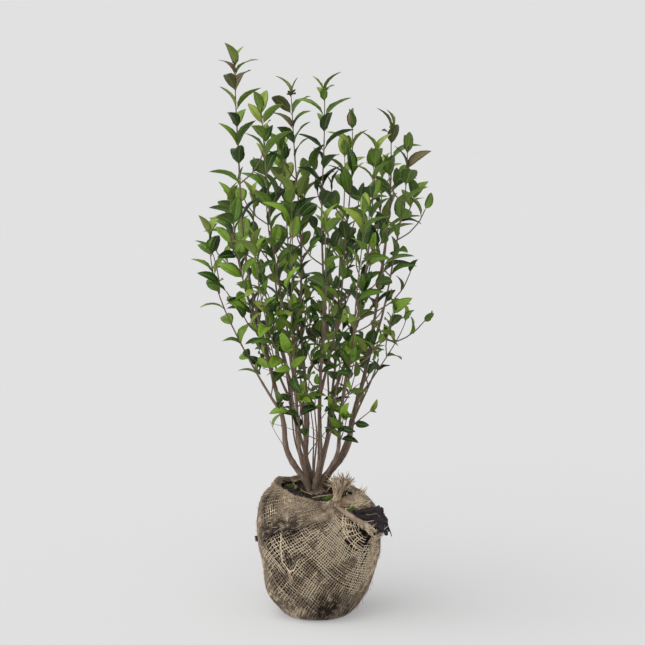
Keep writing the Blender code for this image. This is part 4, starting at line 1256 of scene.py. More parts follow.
def leaf_piece(leaves, name, finish, nodes=()):
    """All the leaves of one tint as one mesh, laid out by arrays from one blade."""
    bm = leaf_template()
    chart = bm.loops.layers.uv[BAKE_MAP]
    share, side, face = np.array([vertex.co[:] for vertex in bm.verts]).T
    faces = [[vertex.index for vertex in item.verts] for item in bm.faces]
    layout = [loop[chart].uv[:] for item in bm.faces for loop in item.loops]
    bm.free()
    rng = np.random.default_rng(SEED + len(leaves))
    length, wide, fold, droop = np.array([leaf[1:5] for leaf in leaves]).T[:, :, None]
    half = wide / 2
    wave = rng.uniform(0.0, 1.0, (len(leaves), 4, 1))
    width = half_width(share)
    across = side * width * half * (1 - 0.10 * np.abs(side) * width)
    lift = length * droop * (2.926 * share - 3.926 * share**2)
    lift = lift + np.abs(side) * width * half * fold
    swing = np.sin(share * (7.0 + 5.0 * wave[:, 0]) + 6.3 * wave[:, 1] + side)
    lift = lift + 0.0016 * wave[:, 2] * swing * np.abs(side) * width
    sway = (wave[:, 3] - 0.5) * 0.16 * length * share**2
    thick = np.where(share < 0.12, 1.0, (1 - 0.55 * np.abs(side)) * (1 - 0.6 * share))
    lift = lift + face * LEAF_RIB * thick
    local = np.stack((length * share + 0 * lift, across + sway, lift), axis=2)
    turns = np.array([leaf.place.to_3x3() for leaf in leaves])
    places = np.array([leaf.place.translation for leaf in leaves])
    points = np.einsum("nij,nkj->nki", turns, local) + places[:, None]
    starts = range(0, len(leaves) * len(share), len(share))
    every = [[start + index for index in item] for start in starts for item in faces]
    mesh = array_mesh(points, every, name)
    mesh.polygons.foreach_set("use_smooth", np.ones(len(every), dtype=bool))
    uvs = mesh.uv_layers.new(name=BAKE_MAP)
    uvs.data.foreach_set("uv", np.tile(np.array(layout).ravel(), len(leaves)))
    on_rib = np.tile((np.abs(side) < 0.01) & (share > 0.05), len(leaves))
    ends = np.empty(len(mesh.edges) * 2, dtype=np.int32)
    mesh.edges.foreach_get("vertices", ends)
    ends = ends.reshape(-1, 2)
    sharp = mesh.attributes.new("sharp_edge", "BOOLEAN", "EDGE")
    sharp.data.foreach_set("value", on_rib[ends[:, 0]] & on_rib[ends[:, 1]])
    mesh.update()
    return add_piece(mesh, name, "leaf", [finish], nodes)


def tint_of(leaf, rng):
    """Which colour a leaf takes: dark low and inside, as painted shade and partly as older leaves,
    and bright outside, as painted light; yellow and bronze at some tips.
    """
    draw = rng.random()
    inward = 1 - min(1.0, polar(leaf.place.translation)[0] / 0.16)
    low = 1 - smooth_step(0.45, 0.72, leaf.height)
    # The share of dark tints grows inward and at the crown's foot: painted shade, partly older
    # leaves.
    dark = 0.25 - 0.12 * low + 0.36 * inward + 0.40 * (1 - smooth_step(0.37, 0.46, leaf.height))
    if leaf.share > YOUNG_FROM:
        if leaf.number in YOUNG_SHOOTS and draw < 0.34:
            return ("bronze", "plum")[draw < 0.10]
        if draw < 0.62:
            return "lime"
    if draw < dark * 0.55:
        return "old"
    if draw < dark:
        return "deep"
    if draw < dark + (1 - dark) * (0.48 - 0.20 * low):
        return "mid"
    if draw < dark + (1 - dark) * 0.94:
        return "bright"
    return "lime"


# Pieces of the plant


class PRIVET_OT_limbs(bpy.types.Operator):
    """Stems and boughs with bark, from the stool to the tip of each shoot"""

    bl_idname = "privet.limbs"
    bl_label = "Stems and boughs"

    def execute(self, context):
        sizes, colours, _ = settings()
        bark = bark_finish("bark", colours)
        whole = bmesh.new()
        youth = whole.verts.layers.float.new("youth")
        for shoot in SHOOTS:
            limb = mesh_of(self.limb(shoot, sizes.bark_relief), "limb")
            for vertex in taken_in(whole, limb):
                thin = 1 - axis_radius(shoot, vertex.co.z) / YOUNG_RADIUS
                vertex[youth] = max(0.0, 0.25 + (0.75 if thin > 0 else 0.4) * thin)
        taken_in(whole, strand_mesh(self.feet(), LIMB_SIDES, "feet"))
        add_piece(mesh_of(whole, "stems"), "stems", "bark", [bark], STEM_NODES)
        add_piece(mesh_of(self.stool(), "stool_bark"), "stool_bark", "bark", [bark], ["stool"])
        return {"FINISHED"}

    def feet(self):
        """A root collar under each stem that bends in and down into the soil."""
        strands, marks = [], np.linspace(0.0, 1.0, 9)[:, None]
        for shoot in SHOOTS[:MAIN_STEMS]:
            start = axis_point(shoot, FOOT_HEIGHT + 0.016)
            middle = axis_point(shoot, FOOT_HEIGHT + 0.002)
            low = Vector((middle.x * 0.62, middle.y * 0.62, SOIL_TOP - 0.008))
            radii = axis_radius(shoot, FOOT_HEIGHT) * np.linspace(0.70, 1.25, 9)
            strands.append(Strand(curved(marks, start, middle, low), radii, 0))
        return strands

    def limb(self, shoot, relief):
        """One tapering limb: a ring drawn up along the axis, with nodes and ridges."""
        bm = bmesh.new()
        bmesh.ops.create_circle(bm, segments=LIMB_SIDES, radius=1.0, cap_ends=True)
        bmesh.ops.reverse_faces(bm, faces=bm.faces)
        bmesh.ops.edgeloop_fill(bm, edges=swept(bm, self.rings(shoot)))
        bmesh.ops.recalc_face_normals(bm, faces=bm.faces)
        bm.normal_update()
        for vertex in bm.verts:
            spot = Vector((vertex.co.x * 260, vertex.co.y * 260, vertex.co.z * 38))
            rough = noise.noise(spot) + 0.5 * noise.noise(spot * 2.7)
            strength = min(1.0, axis_radius(shoot, vertex.co.z) / 0.005)
            vertex.co += vertex.normal * relief * rough * strength
        return bm

    def rings(self, shoot):
        """The places of a limb's rings along its axis, a little swollen at its nodes."""
        start = foot_of(shoot).z
        lead = Vector((1.0, 0.0, 0.0))
        for height in even_run(start, shoot.tip.z, LIMB_STEP):
            along = axis_direction(shoot, height)
            lead = (lead - along * lead.dot(along)).normalized()
            swell = 1 + 0.16 * math.exp(-(((height - start) / INTERNODE % 1.0 - 0.5) / 0.09) ** 2)
            slim = 1 - SLIMMER * float(smooth_step(0.02, 0.36, climbed(shoot, height)))
            size = axis_radius(shoot, height) * swell * slim
            turn = Matrix((lead, along.cross(lead), along)).transposed().to_4x4()
            grown = Matrix.Diagonal((size, size, size, 1))
            yield Matrix.Translation(axis_point(shoot, height)) @ turn @ grown

    def stool(self):
        """The lobed foot that the stems rise from."""
        profile = [(0.0, SOIL_TOP - 0.004)]
        for k in range(13):
            share = k / 12
            radius = STOOL_NECK_RADIUS + (STOOL_FOOT_RADIUS - STOOL_NECK_RADIUS) * (1 - share) ** 2
            profile.append((radius, SOIL_TOP - 0.004 * (k == 0) + STOOL_HEIGHT * share))
        top = SOIL_TOP + STOOL_HEIGHT
        profile += [(0.009, top + 0.0025), (0.0, top + STOOL_CROWN)]
        bm = turned(profile, 72)
        for vertex in bm.verts:
            angle = polar(vertex.co)[1]
            share = (vertex.co.z - SOIL_TOP) / STOOL_HEIGHT
            lobe = 1 + STOOL_LOBE_DEPTH * math.cos(STOOL_LOBES * angle) * max(1 - share, 0.0)
            spot = Vector((vertex.co.x * 180, vertex.co.y * 180, vertex.co.z * 60))
            lobe += 0.16 * noise.noise(spot * 0.6) + 0.05 * noise.noise(spot)
            vertex.co.x *= lobe
            vertex.co.y *= lobe
            vertex.co.z += 0.0015 * noise.noise(spot * 0.8)
        return bm


class PRIVET_OT_foliage(bpy.types.Operator):
    """Leaves in opposite pairs, joined by tint, and the fine twigs that carry them"""

    bl_idname = "privet.foliage"
    bl_label = "Twigs and leaves"

    def execute(self, context):
        sizes, colours, _ = settings()
        grower = Grower(sizes)
        for shoot in SHOOTS:
            grower.grow_shoot(shoot)
            grower.tip_growth(shoot)
            if shoot.bare:
                grower.grow_low(shoot)
        grower.thin_stems()
        rng = random.Random(FINE_SEED)
        sorted_leaves = {tint: [] for tint in TINTS}
        for leaf in grower.leaves:
            low = smooth_step(*FALLEN_LOW, leaf.height)
            high = smooth_step(*FALLEN_HIGH, leaf.height)
            if rng.random() < FALLEN * low * high and leaf.share < YOUNG_FROM:
                continue
            sorted_leaves[tint_of(leaf, rng)].append(leaf)
        for tint in TINTS:
            # Each underside and rib is blended from its tint, so the painted light and shade of the
            # tints carry onto them.
            upper = getattr(colours, "leaf_" + tint)[:]
            under = blended(upper, 0.72, colours.leaf_under)
            rib = blended(upper, 0.35, colours.leaf_rib)
            finish = leaf_finish("leaf_" + tint, upper, under, rib)
            nodes = FOLIAGE_NODES if tint == "mid" else ()
            leaf_piece(sorted_leaves[tint], "leaves_" + tint, finish, nodes)
        twigs = [Strand(*self.smoothed(twig), YOUNG_WOOD) for twig in grower.twigs]
        woods = [
            plain_finish("twig_wood", colours.bark_young, 0.6),
            plain_finish("old_twig_wood", colours.bark_old, 0.8),
            plain_finish("dried_heads", colours.leaf_plum, 0.8),
        ]
        strand_piece(twigs + grower.extras, 6, "twigs", "bark", woods)
        return {"FINISHED"}

    def smoothed(self, twig):
        """The twig's bend drawn with more points, tapered to its tip."""
        marks = np.linspace(0.0, 1.0, 9)
        points = np.array([point[:] for point in twig.points])
        bent = [np.interp(marks, SIDE_TWIG_MARKS, points[:, axis]) for axis in range(3)]
        return np.stack(bent, axis=1), np.interp(marks, SIDE_TWIG_MARKS, twig.radii)


# Root ball


def polar(at):
    """A place's distance from the vertical line through the middle, and its angle round it."""
    return math.hypot(at[0], at[1]), math.atan2(at[1], at[0])


def wall_radius(height):
    """Radius of the cloth's outer face: a full belly over a small flat foot."""
    height = np.asarray(height, dtype=float)
    low = np.clip(height / BELLY_HEIGHT, 0.0, 1.0)
    swell = FOOT_RADIUS + (BELLY_RADIUS - FOOT_RADIUS) * np.sin(np.pi / 2 * low**BELLY_SWELL)
    rise = np.clip((height - BELLY_HEIGHT) / (RIM_HEIGHT - BELLY_HEIGHT), 0.0, None)
    shoulder = (BELLY_RADIUS - RIM_RADIUS) * rise**SHOULDER_FALL
    return np.where(height <= BELLY_HEIGHT, swell, BELLY_RADIUS - shoulder)


def ball_lump(angle, height):
    """How far the ball's wall bulges at an angle and a height."""
    rise = height / RIM_HEIGHT
    bulge = sum(
        part * np.sin(rounds * angle + start + wind * rise) for rounds, start, wind, part in LUMPS
    )
    side = np.cos(angle - DENT[0]) - 1
    dent = DENT[4] * np.exp(side / DENT[2]) * np.exp(-(((height - DENT[1]) / DENT[3]) ** 2))
    return LUMP * bulge * smooth_step(0.0, LUMP_FULL_AT, rise) - dent


def rim_tilt(angle, height):
    """How far the ball's upper part is raised towards the side where its rim is high."""
    return RIM_TILT * np.cos(angle - RIM_HIGH_AT) * (height / RIM_HEIGHT) ** 4


def lumpy(radius, angle, height):
    """A place on the turned ball, with its bulges and tilted rim."""
    outer = smooth_step(LUMP_INNER, LUMP_OUTER, radius)
    grown = radius + ball_lump(angle, height) * outer
    raised = height + rim_tilt(angle, height) * outer
    return np.stack((grown * np.cos(angle), grown * np.sin(angle), raised), -1)


def cloth_line():
    """The cloth's outer line from the foot over the rim and in over the soil."""
    low = BELLY_HEIGHT * np.linspace(0.0, 1.0, LOW_POINTS) ** 2
    high = np.linspace(BELLY_HEIGHT, RIM_HEIGHT - HEM_RADIUS, HIGH_POINTS)
    wall = np.concatenate((low, high[1:]))
    turns = np.radians(np.linspace(0.0, 165.0, 11))
    in_radius = RIM_RADIUS + HEM_RADIUS * np.cos(turns)
    in_height = RIM_HEIGHT + HEM_RADIUS * np.sin(turns)
    share = np.linspace(0.0, 1.0, 9)[1:]
    over_radius = in_radius[-1] + (COLLAR[0] - in_radius[-1]) * share
    over_height = in_height[-1] + (COLLAR[1] - in_height[-1]) * share**0.7
    radius = np.concatenate((wall_radius(wall), in_radius, over_radius))
    height = np.concatenate((wall, in_height, over_height))
    run = np.concatenate(((0.0,), np.cumsum(np.hypot(np.diff(radius), np.diff(height)))))
    return radius, height, run


LINE_RADIUS, LINE_HEIGHT, LINE_RUN = cloth_line()
RIM_RUN = float(LINE_RUN[LOW_POINTS + HIGH_POINTS - 2])
RIM_INSIDE = float(LINE_RUN[-2]) - RIM_RUN


def cloth_point(angle, run, lift):
    """A place on the cloth, at an angle and a run up from the foot, lifted off it."""
    radius, height = (np.interp(run, LINE_RUN, line) for line in (LINE_RADIUS, LINE_HEIGHT))
    reach = 0.0015
    out, rise = (
        np.interp(run + reach, LINE_RUN, line) - np.interp(run - reach, LINE_RUN, line)
        for line in (LINE_RADIUS, LINE_HEIGHT)
    )
    size = np.maximum(np.hypot(rise, out), 1e-9)
    return lumpy(radius + lift * rise / size, angle, height - lift * out / size)


def creases(around, down):
    """Folds that the knot pulls in the cloth, the mound it sits on, and slack dents."""
    reach, turn = np.hypot(around, down), np.arctan2(around, down)
    pulled = np.sin(13 * turn + 2.5 * np.sin(3 * turn)) + 0.6 * np.sin(23 * turn + 1.0)
    pulled = pulled * np.exp(-reach / 0.065) * smooth_step(0.005, 0.020, reach)
    pulled = np.where(pulled > 0, 1.6, 0.45) * pulled
    slack = np.sin(62 * around + 40 * down) * np.sin(34 * down - 23 * around + 1.0)
    rim = np.sin(61 * around) * np.exp(-((down / 0.012) ** 2)) * smooth_step(0.02, 0.05, reach)
    mound = 0.008 * np.exp(-((reach / 0.011) ** 2))
    return 0.0016 * pulled + 0.0011 * slack + 0.0013 * rim + mound + blot(around, down, SHOULDER)


def cloth_at(around, down, lift=0.0):
    """A place on the creased cloth, by its distances from the knot's place on the rim."""
    around, down = np.asarray(around, dtype=float), np.asarray(down, dtype=float)
    run = np.clip(RIM_RUN - down, 0.0, LINE_RUN[-1])
    low = smooth_step(0.0, 0.03, run)
    point = cloth_point(KNOT_AT + around / BELLY_RADIUS, run, lift + creases(around, down) * low)
    near_rim = smooth_step(0.10, 0.0, down)
    dip = RIM_DIP * np.exp(-(((around - 0.01) / 0.06) ** 2)) - 0.0015 * np.sin(37 * around + 1.0)
    point[..., 2] = np.maximum(point[..., 2] - (dip - 0.0010 * np.sin(83 * around)) * near_rim, 0.0)
    return point


def tear_share(angle, height):
    """How far out from the torn place's centre, 1 at its ragged edge."""
    across = (angle - TEAR_AT) * BELLY_RADIUS
    up = height - TEAR_HEIGHT
    x = across * math.cos(TEAR_LEAN) - up * math.sin(TEAR_LEAN)
    y = across * math.sin(TEAR_LEAN) + up * math.cos(TEAR_LEAN)
    turn = np.arctan2(y, x)
    ragged = 0.10 * np.sin(5 * turn + 1.0) + 0.07 * np.sin(9 * turn)
    ragged = ragged + 0.05 * np.sin(17 * turn + 2.0)
    return np.hypot(x / (TEAR_WIDTH / 2), y / (TEAR_TALL / 2)) + ragged


def torn_at(around, down):
    """The torn place's share at distances from the knot's place."""
    height = np.interp(RIM_RUN - down, LINE_RUN, LINE_HEIGHT)
    return tear_share(KNOT_AT + around / BELLY_RADIUS, height)


def blot(around, down, spot):
    """A soft patch: its place, two half widths, slant and strength."""
    x, y, wide, tall, slant, strength = spot
    side, fall = around - x, down - y
    turned_side = side * math.cos(slant) + fall * math.sin(slant)
    turned_fall = fall * math.cos(slant) - side * math.sin(slant)
    return strength * np.exp(-((turned_side / wide) ** 2) - (turned_fall / tall) ** 2)


def open_share(around, down):
    """Where the weave is open and dark soil shows through, from 0, dusty, to 1."""
    patches = 0.5 + 0.5 * np.sin(13 * around + 1.0) * np.sin(23 * down + 0.5)
    away = smooth_step(0.13, 0.20, np.abs(around + 0.02))
    dusty_side = 1 - 0.9 * smooth_step(0.050, 0.085, around) * smooth_step(0.24, 0.18, around)
    share = sum(blot(around, down, spot) for spot in OPEN_PLACES) + 0.95 * patches * away
    share = share * dusty_side * smooth_step(0.018, 0.044, down + 0.32 * np.minimum(around, 0.03))
    return np.clip(share + blot(around, down, NETTED), 0.0, 1.0)


def stained(around, down):
    """Where wet soil has darkened the cloth, and low on the ball where painted shade darkens it;
    below 0 where it is paler than elsewhere.
    """
    pale = blot(around, down, PALE_PLACE)
    return np.clip(sum(blot(around, down, spot) for spot in STAIN_AND_SHADE_PATCHES), 0.0, 1.0) - pale


class PRIVET_OT_soil(bpy.types.Operator):
    """Soil inside the cloth, rough where it shows, with clods, moss and straw on top"""

    bl_idname = "privet.soil"
    bl_label = "Soil"

    def execute(self, context):
        sizes, colours, _ = settings()
        finish = soil_finish("soil", colours.soil_dark, colours.soil_dry)
        inset = CLOTH + CLOTH_GAP
        low = BELLY_HEIGHT * np.linspace(0.0, 1.0, 24)[1:] ** 2
        wall = np.concatenate((low, np.linspace(BELLY_HEIGHT, SOIL_EDGE, 22)[1:]))
        profile = [(0.0, CLOTH + 0.0005), (FOOT_RADIUS - inset, CLOTH + 0.0005)]
        profile += list(zip(wall_radius(wall) - inset, wall))
        profile += list(zip(SOIL_TOP_RADII, np.interp(SOIL_TOP_RADII, *SOIL_TOP_LINE)))
        bm = turned(profile, SOIL_STEPS)
        for vertex in bm.verts:
            (radius, angle), z = polar(vertex.co), vertex.co.z
            spot = vertex.co * 75
            rough = noise.noise(spot) + 0.5 * noise.noise(spot * 2.3)
            rough += 0.25 * noise.noise(spot * 5.1)
            deep = sizes.soil_relief * (rough - 0.45)
            top = smooth_step(0.230, 0.236, z)
            if radius > 0.085:
                deep = deep - TEAR_HOLLOW * (1 - smooth_step(0.2, 1.05, tear_share(angle, z)))
            if radius > 0.06:
                near = math.exp(-(((wrapped(angle) - KNOT_AT) / 0.75) ** 2))
                deep = deep - 0.0045 * near * smooth_step(0.200, 0.225, z)
            outer = radius + deep * (1 - top) if radius > 0.05 else radius
            vertex.co = Vector(lumpy(np.float64(outer), angle, z))
            vertex.co.z += 0.9 * deep * top * min(1.0, radius / 0.02)
        bmesh.ops.recalc_face_normals(bm, faces=bm.faces)
        add_piece(mesh_of(bm, "soil"), "soil", "soil", [finish], ["soil_ball"])
        self.crumbs(colours)
        self.litter(colours)
        return {"FINISHED"}

    def crumbs(self, colours):
        """Clods and crumbs on the soil, and in the torn place."""
        rng = random.Random(SEED + 61)
        places = []
        for number in range(CRUMBS):
            size = 0.0009 + 0.0035 * rng.random() ** 4
            if number % 3:
                radius, angle = 0.078 * math.sqrt(rng.random()), rng.uniform(0.0, math.tau)
                at = Vector(lumpy(np.float64(radius), angle, np.interp(radius, *SOIL_TOP_LINE)))
            else:
                around, down = rng.uniform(0.02, 0.12), rng.uniform(0.02, 0.105)
                if torn_at(around, down) > 0.95:
                    continue
                at = Vector(cloth_at(around, down, -0.006 - TEAR_HOLLOW * rng.uniform(0.2, 0.8)))
            turn = Matrix.Rotation(rng.uniform(0.0, math.tau), 4, (rng.random(), rng.random(), 0.3))
            flat = (size, size * rng.uniform(0.6, 1.0), size * rng.uniform(0.5, 0.9), 1.0)
            places.append(Matrix.Translation(at) @ turn @ Matrix.Diagonal(flat))
        for name, tint, some in (
            ("crumbs_dark", colours.soil_dark, places[::2]),
            ("crumbs_dry", colours.soil_dry, places[1::4]),
            ("crumbs_brown", shaded(colours.soil_dry, 0.6), places[3::4]),
        ):
            add_piece(crowd(some, name, 0.35), name, "soil", [plain_finish(name, tint, 0.95)])

    def litter(self, colours):
        """Straw, old roots and a pink bud on the soil, and moss by the knot."""
        rng = random.Random(SEED + 62)
        strands = []
        for _ in range(STRAWS):
            at = Vector((rng.uniform(-0.045, 0.062), rng.uniform(-0.060, 0.055), 0.2475))
            way = any_way(rng, -0.05, 0.35)
            length, size = rng.uniform(0.010, 0.034), rng.uniform(0.0003, 0.0007)
            strands.append(wisp(at, way, length, 0.25, size, rng.choice((0, 0, 1)), rng))
        for start, end in STALKS:
            way = Vector(end) - Vector(start)
            strands.append(wisp(Vector(start), way, way.length, 0.05, 0.0008, 0, rng))
        mark = np.linspace(0.0, 1.0, 7)
        bud = np.array(PINK_BUD) + mark[:, None] * (0.004, -0.002, 0.010)
        strands.append(Strand(bud, 0.0044 * np.sin(np.pi * (0.15 + 0.8 * mark)), 2))
        finishes = [
            plain_finish("straw", colours.straw, 0.7),
            plain_finish("old_root", colours.soil_dry, 0.9),
            plain_finish("pink_bud", colours.bark_young, 0.6),
        ]
        strand_piece(strands, 5, "litter", "soil", finishes)
        moss = []
        for x, y, z, wide in MOSS + ((*cloth_at(0.044, 0.012, 0.001), 0.008),):
            for _ in range(MOSS_LEAVES):
                turn, out = rng.uniform(0.0, math.tau), wide * math.sqrt(rng.random())
                at = Vector((x + out * math.cos(turn), y + out * math.sin(turn), z - 0.2 * out))
                way = Vector((math.cos(turn) * out / wide, math.sin(turn) * out / wide, 1.2))
                length = rng.uniform(0.004, 0.009)
                moss.append(wisp(at, way, length, 0.3, 0.0009, rng.choice((0, 0, 1)), rng))
        finishes = [
            plain_finish("moss", colours.moss, 0.8),
            plain_finish("moss_deep", shaded(colours.moss, 0.5), 0.8),
        ]
        strand_piece(moss, 3, "moss", "soil", finishes)


def wisp(at, way, length, curl, radius, tint, rng, fall=0.0):
    """A loose thread, root or straw that wanders from a place and thins to its end."""
    way = way.normalized()
    bend, points = any_way(rng) * curl, [at.copy()]
    for _ in range(5):
        bend = Matrix.Rotation(0.5, 3, way) @ bend
        way = (way + bend + Vector((0.0, 0.0, -fall))).normalized()
        points.append(points[-1] + way * length / 5)
    taper = radius * np.array((1, 1, 0.95, 0.85, 0.7, 0.4))
    return Strand([point[:] for point in points], taper, tint)


def crowd(places, name, jitter):
    """Many uneven clods as one mesh, laid out by arrays from one shape."""
    bm = bmesh.new()
    bmesh.ops.create_icosphere(bm, subdivisions=1, radius=1.0)
    corners = np.array([vertex.co[:] for vertex in bm.verts])
    faces = [[vertex.index for vertex in face.verts] for face in bm.faces]
    bm.free()
    rng = np.random.default_rng(SEED)
    points, every = [], []
    for number, place in enumerate(places):
        turn = np.array(place)
        local = corners * (1 + jitter * rng.uniform(-1.0, 1.0, (len(corners), 1)))
        points.append(local @ turn[:3, :3].T + turn[:3, 3])
        every += [[number * len(corners) + index for index in face] for face in faces]
    return array_mesh(np.concatenate(points), every, name)


class PRIVET_OT_hessian(bpy.types.Operator):
    """Hessian round the ball: a dusty backing, two families of threads and loose hairs"""

    bl_idname = "privet.hessian"
    bl_label = "Hessian wrap"

    def execute(self, context):
        sizes, colours, _ = settings()
        self.backing(colours)
        tints = thread_finishes(colours)
        strand_piece(self.warp(sizes), 4, "hessian_warp", "hessian", tints)
        strand_piece(self.weft(sizes), 4, "hessian_weft", "hessian", tints)
        strand_piece(self.hairs(), 3, "hessian_hairs", "hessian", tints)
        return {"FINISHED"}

    def backing(self, colours):
        """The dust and lint between the threads, open at the tear and ragged round the soil."""
        profile = [(0.0, 0.0), (0.03, 0.0)] + list(zip(LINE_RADIUS, LINE_HEIGHT))
        bm = turned(profile, CLOTH_STEPS)
        open_to = bm.verts.layers.float.new("open")
        stain_and_shade_layer = bm.verts.layers.float.new("stain")
        torn = []
        for face in bm.faces:
            centre = face.calc_center_median()
            radius, angle = polar(centre)
            if radius > 0.085 and tear_share(angle, centre.z) < 1.0:
                torn.append(face)
            if radius < ragged_collar(angle) and centre.z > 0.2:
                torn.append(face)
        bmesh.ops.delete(bm, geom=torn, context="FACES")
        for vertex in bm.verts:
            (radius, angle), z = polar(vertex.co), vertex.co.z
            if radius < FOOT_RADIUS - 0.001 and z < 0.1:
                vertex.co.z = 0.0
                continue
            k = int(np.argmin(np.hypot(LINE_RADIUS - radius, LINE_HEIGHT - z)))
            around = float(wrapped(angle) - KNOT_AT) * BELLY_RADIUS
            down = RIM_RUN - float(LINE_RUN[k])
            rough = 0.0007 * noise.noise(vertex.co * 60) - 0.0007
            vertex.co = Vector(cloth_at(around, down, rough * min(1.0, z / 0.02)))
            vertex[open_to] = float(open_share(around, down))
            patchy = 1.0 + 0.9 * noise.noise(vertex.co * 110)
            vertex[stain_and_shade_layer] = float(stained(around, down)) * patchy
        finish = cloth_finish("cloth", colours)
        mesh = mesh_of(bm, "hessian_backing")
        piece = add_piece(mesh, "hessian_backing", "hessian", [finish], ["hessian_wrap"])
        thickened(piece, 0.0008, -1.0)

    def kept(self, around, down, phase, radius, rng):
        """The stretches of a thread that are on the cloth and outside the torn place."""
        torn = torn_at(around, down)
        inner = -RIM_INSIDE * (0.35 + 0.6 * rng.random())
        whole = torn > rng.uniform(0.64, 1.03)
        whole &= (down > inner) & (down < RIM_RUN - 0.0008)
        whole &= np.abs(around) < math.pi * BELLY_RADIUS
        share = open_share(around, down)
        lift = 0.0001 + 0.0007 * share + (0.0003 + 0.0004 * share) * np.cos(math.pi * phase)
        points = cloth_at(around, down, lift)
        points[:, 2] = np.maximum(points[:, 2], 0.0012)
        stain = stained(around, down)
        strands = []
        ends = np.flatnonzero(np.diff(np.concatenate(([False], whole, [False]))))
        for start, end in zip(ends[::2], ends[1::2]):
            if end - start > 2:
                run = slice(start, end)
                tint = tint_at(points[run], share[run], stain[run], rng)
                strands.append(Strand(points[run], radius[run], tint))
        return strands

    def drift(self, reach, turn):
        """Places at a reach and a turn from the focus, as the weave is pulled out of true."""
        around, down = FOCUS[0] + reach * np.sin(turn), FOCUS[1] + reach * np.cos(turn)
        side = 0.0030 * np.sin(23 * around + 17 * down + 1.0)
        side = side + 0.0016 * np.sin(61 * down - 40 * around)
        fall = 0.0030 * np.sin(19 * down - 26 * around)
        fall = fall + 0.0016 * np.sin(55 * around + 31 * down + 2.0)
        across, along = around - TORN_CENTRE[0], down - TORN_CENTRE[1]
        reach = np.maximum(np.hypot(across, along), 1e-6)
        push = TORN_PUSH[0] * np.exp(-((reach / TORN_PUSH[1]) ** 2)) / reach
        return around + side + across * push, down + fall + along * push

    def warp(self, sizes):
        """Threads that run out on all sides from a place by the knot."""
        cell = sizes.thread_spacing
        rng = random.Random(SEED + 71)
        strands = []
        for number in range(WARP_COUNT):
            begins = next(reach for every, reach in WARP_LEVELS if number % every == 0)
            reach = np.arange(begins * rng.uniform(0.85, 1.2), WEAVE_REACH, cell / 2)
            turn = math.tau * (number + rng.uniform(-0.2, 0.2)) / WARP_COUNT
            wander = 0.0006 * np.sin(reach * 190 + rng.uniform(0, 6.3))
            wander = (wander + 0.0004 * np.sin(reach * 431)) / reach
            around, down = self.drift(reach, turn + wander)
            slub = 1 + 0.30 * np.sin(reach * 88 + rng.uniform(0, 6.3)) * rng.random()
            slub = sizes.thread_radius * slub
            strands += self.kept(around, down, reach / cell + number, slub, rng)
        return strands

    def weft(self, sizes):
        """Threads that run in arcs round the same place."""
        cell = sizes.thread_spacing
        rng = random.Random(SEED + 72)
        strands = []
        for number in range(int(WEAVE_REACH / cell)):
            reach = WEFT_FROM + (number + rng.uniform(-0.12, 0.12)) * cell
            turn = np.arange(-math.pi, math.pi + cell / reach / 2, cell / reach / 2)
            wander = 0.0006 * np.sin(turn * 9 + rng.uniform(0, 6.3))
            wander = wander + 0.0004 * np.sin(turn * reach * 431 + number)
            around, down = self.drift(reach + wander, turn)
            slub = 1 + 0.35 * np.sin(turn * reach * 63 + rng.uniform(0, 6.3)) * rng.random()
            slub = sizes.thread_radius * slub
            strands += self.kept(around, down, turn * reach / cell + number + 1, slub, rng)
        return strands

    def hairs(self):
        """Loose fibres that lie on the cloth or stand off it, most on its dusty parts."""
        rng = random.Random(SEED + 73)
        strands = []
        while len(strands) < HAIRS:
            around = rng.uniform(-math.pi, math.pi) * BELLY_RADIUS
            down = rng.uniform(-0.010, RIM_RUN - 0.012)
            dusty = 1 - float(open_share(around, down))
            if rng.random() > 0.25 + 0.75 * dusty or torn_at(around, down) < 1.0:
                continue
            at = Vector(cloth_at(around, down, 0.0010))
            turn = math.atan2(around - FOCUS[0], down - FOCUS[1]) + rng.uniform(-0.5, 0.5)
            step = 0.010
            onward = (around + step * math.sin(turn), down + step * math.cos(turn))
            ahead = Vector(cloth_at(*onward, 0.0012))
            way = (ahead - at).normalized() + level_way(at) * rng.choice((0.02, 0.04, 0.3))
            tint = rng.choice((PALE, PALE, TAN, TAN, TAN, DAMP))
            length, size = rng.uniform(0.006, 0.018), rng.uniform(0.00018, 0.0004)
            strands.append(wisp(at, way, length, 0.10, size, tint, rng))
        return [strand for strand in strands if min(point[2] for point in strand.points) > 0.001]


def ragged_collar(angle):
    """How far in over the soil the cloth's loose edge reaches."""
    wave = 0.5 + 0.3 * math.sin(3 * angle + 1.0) + 0.2 * math.sin(11 * angle)
    wave += 0.15 * math.sin(29 * angle)
    near = math.exp(-(((wrapped(angle) - KNOT_AT - 0.3) / 0.9) ** 2))
    return COLLAR[0] + 0.008 * wave * (1 - 0.8 * near)


def wrapped(angle):
    """Angles brought within half a turn of the front of the ball."""
    return (angle - KNOT_AT + math.pi) % math.tau + KNOT_AT - math.pi


def thread_finishes(colours):
    """The plain tints of the threads."""
    return [plain_finish(name, getattr(colours, name), 0.95) for name in THREAD_TINTS]


def tint_at(points, share, stain, rng):
    """Which of the four thread tints each place takes: pale, tan, damp brown, dark."""
    tints = np.empty(len(points), dtype=np.int32)
    shift = rng.uniform(-0.08, 0.08)
    for k, point in enumerate(points):
        spot = Vector(point)
        level = 0.20 * noise.noise(spot * 16) + 0.24 * noise.noise(spot * 47)
        level += 0.16 * noise.noise(spot * 160)
        # damp darkens threads by stains, and at the ball's foot by painted shade.
        damp = 0.75 * stain[k] * (0.7 + 1.2 * noise.noise(spot * 110))
        level += 0.55 + shift + 0.22 * share[k] - damp
        tints[k] = 3 - min(3, max(0, int(level * 4)))
    return tints


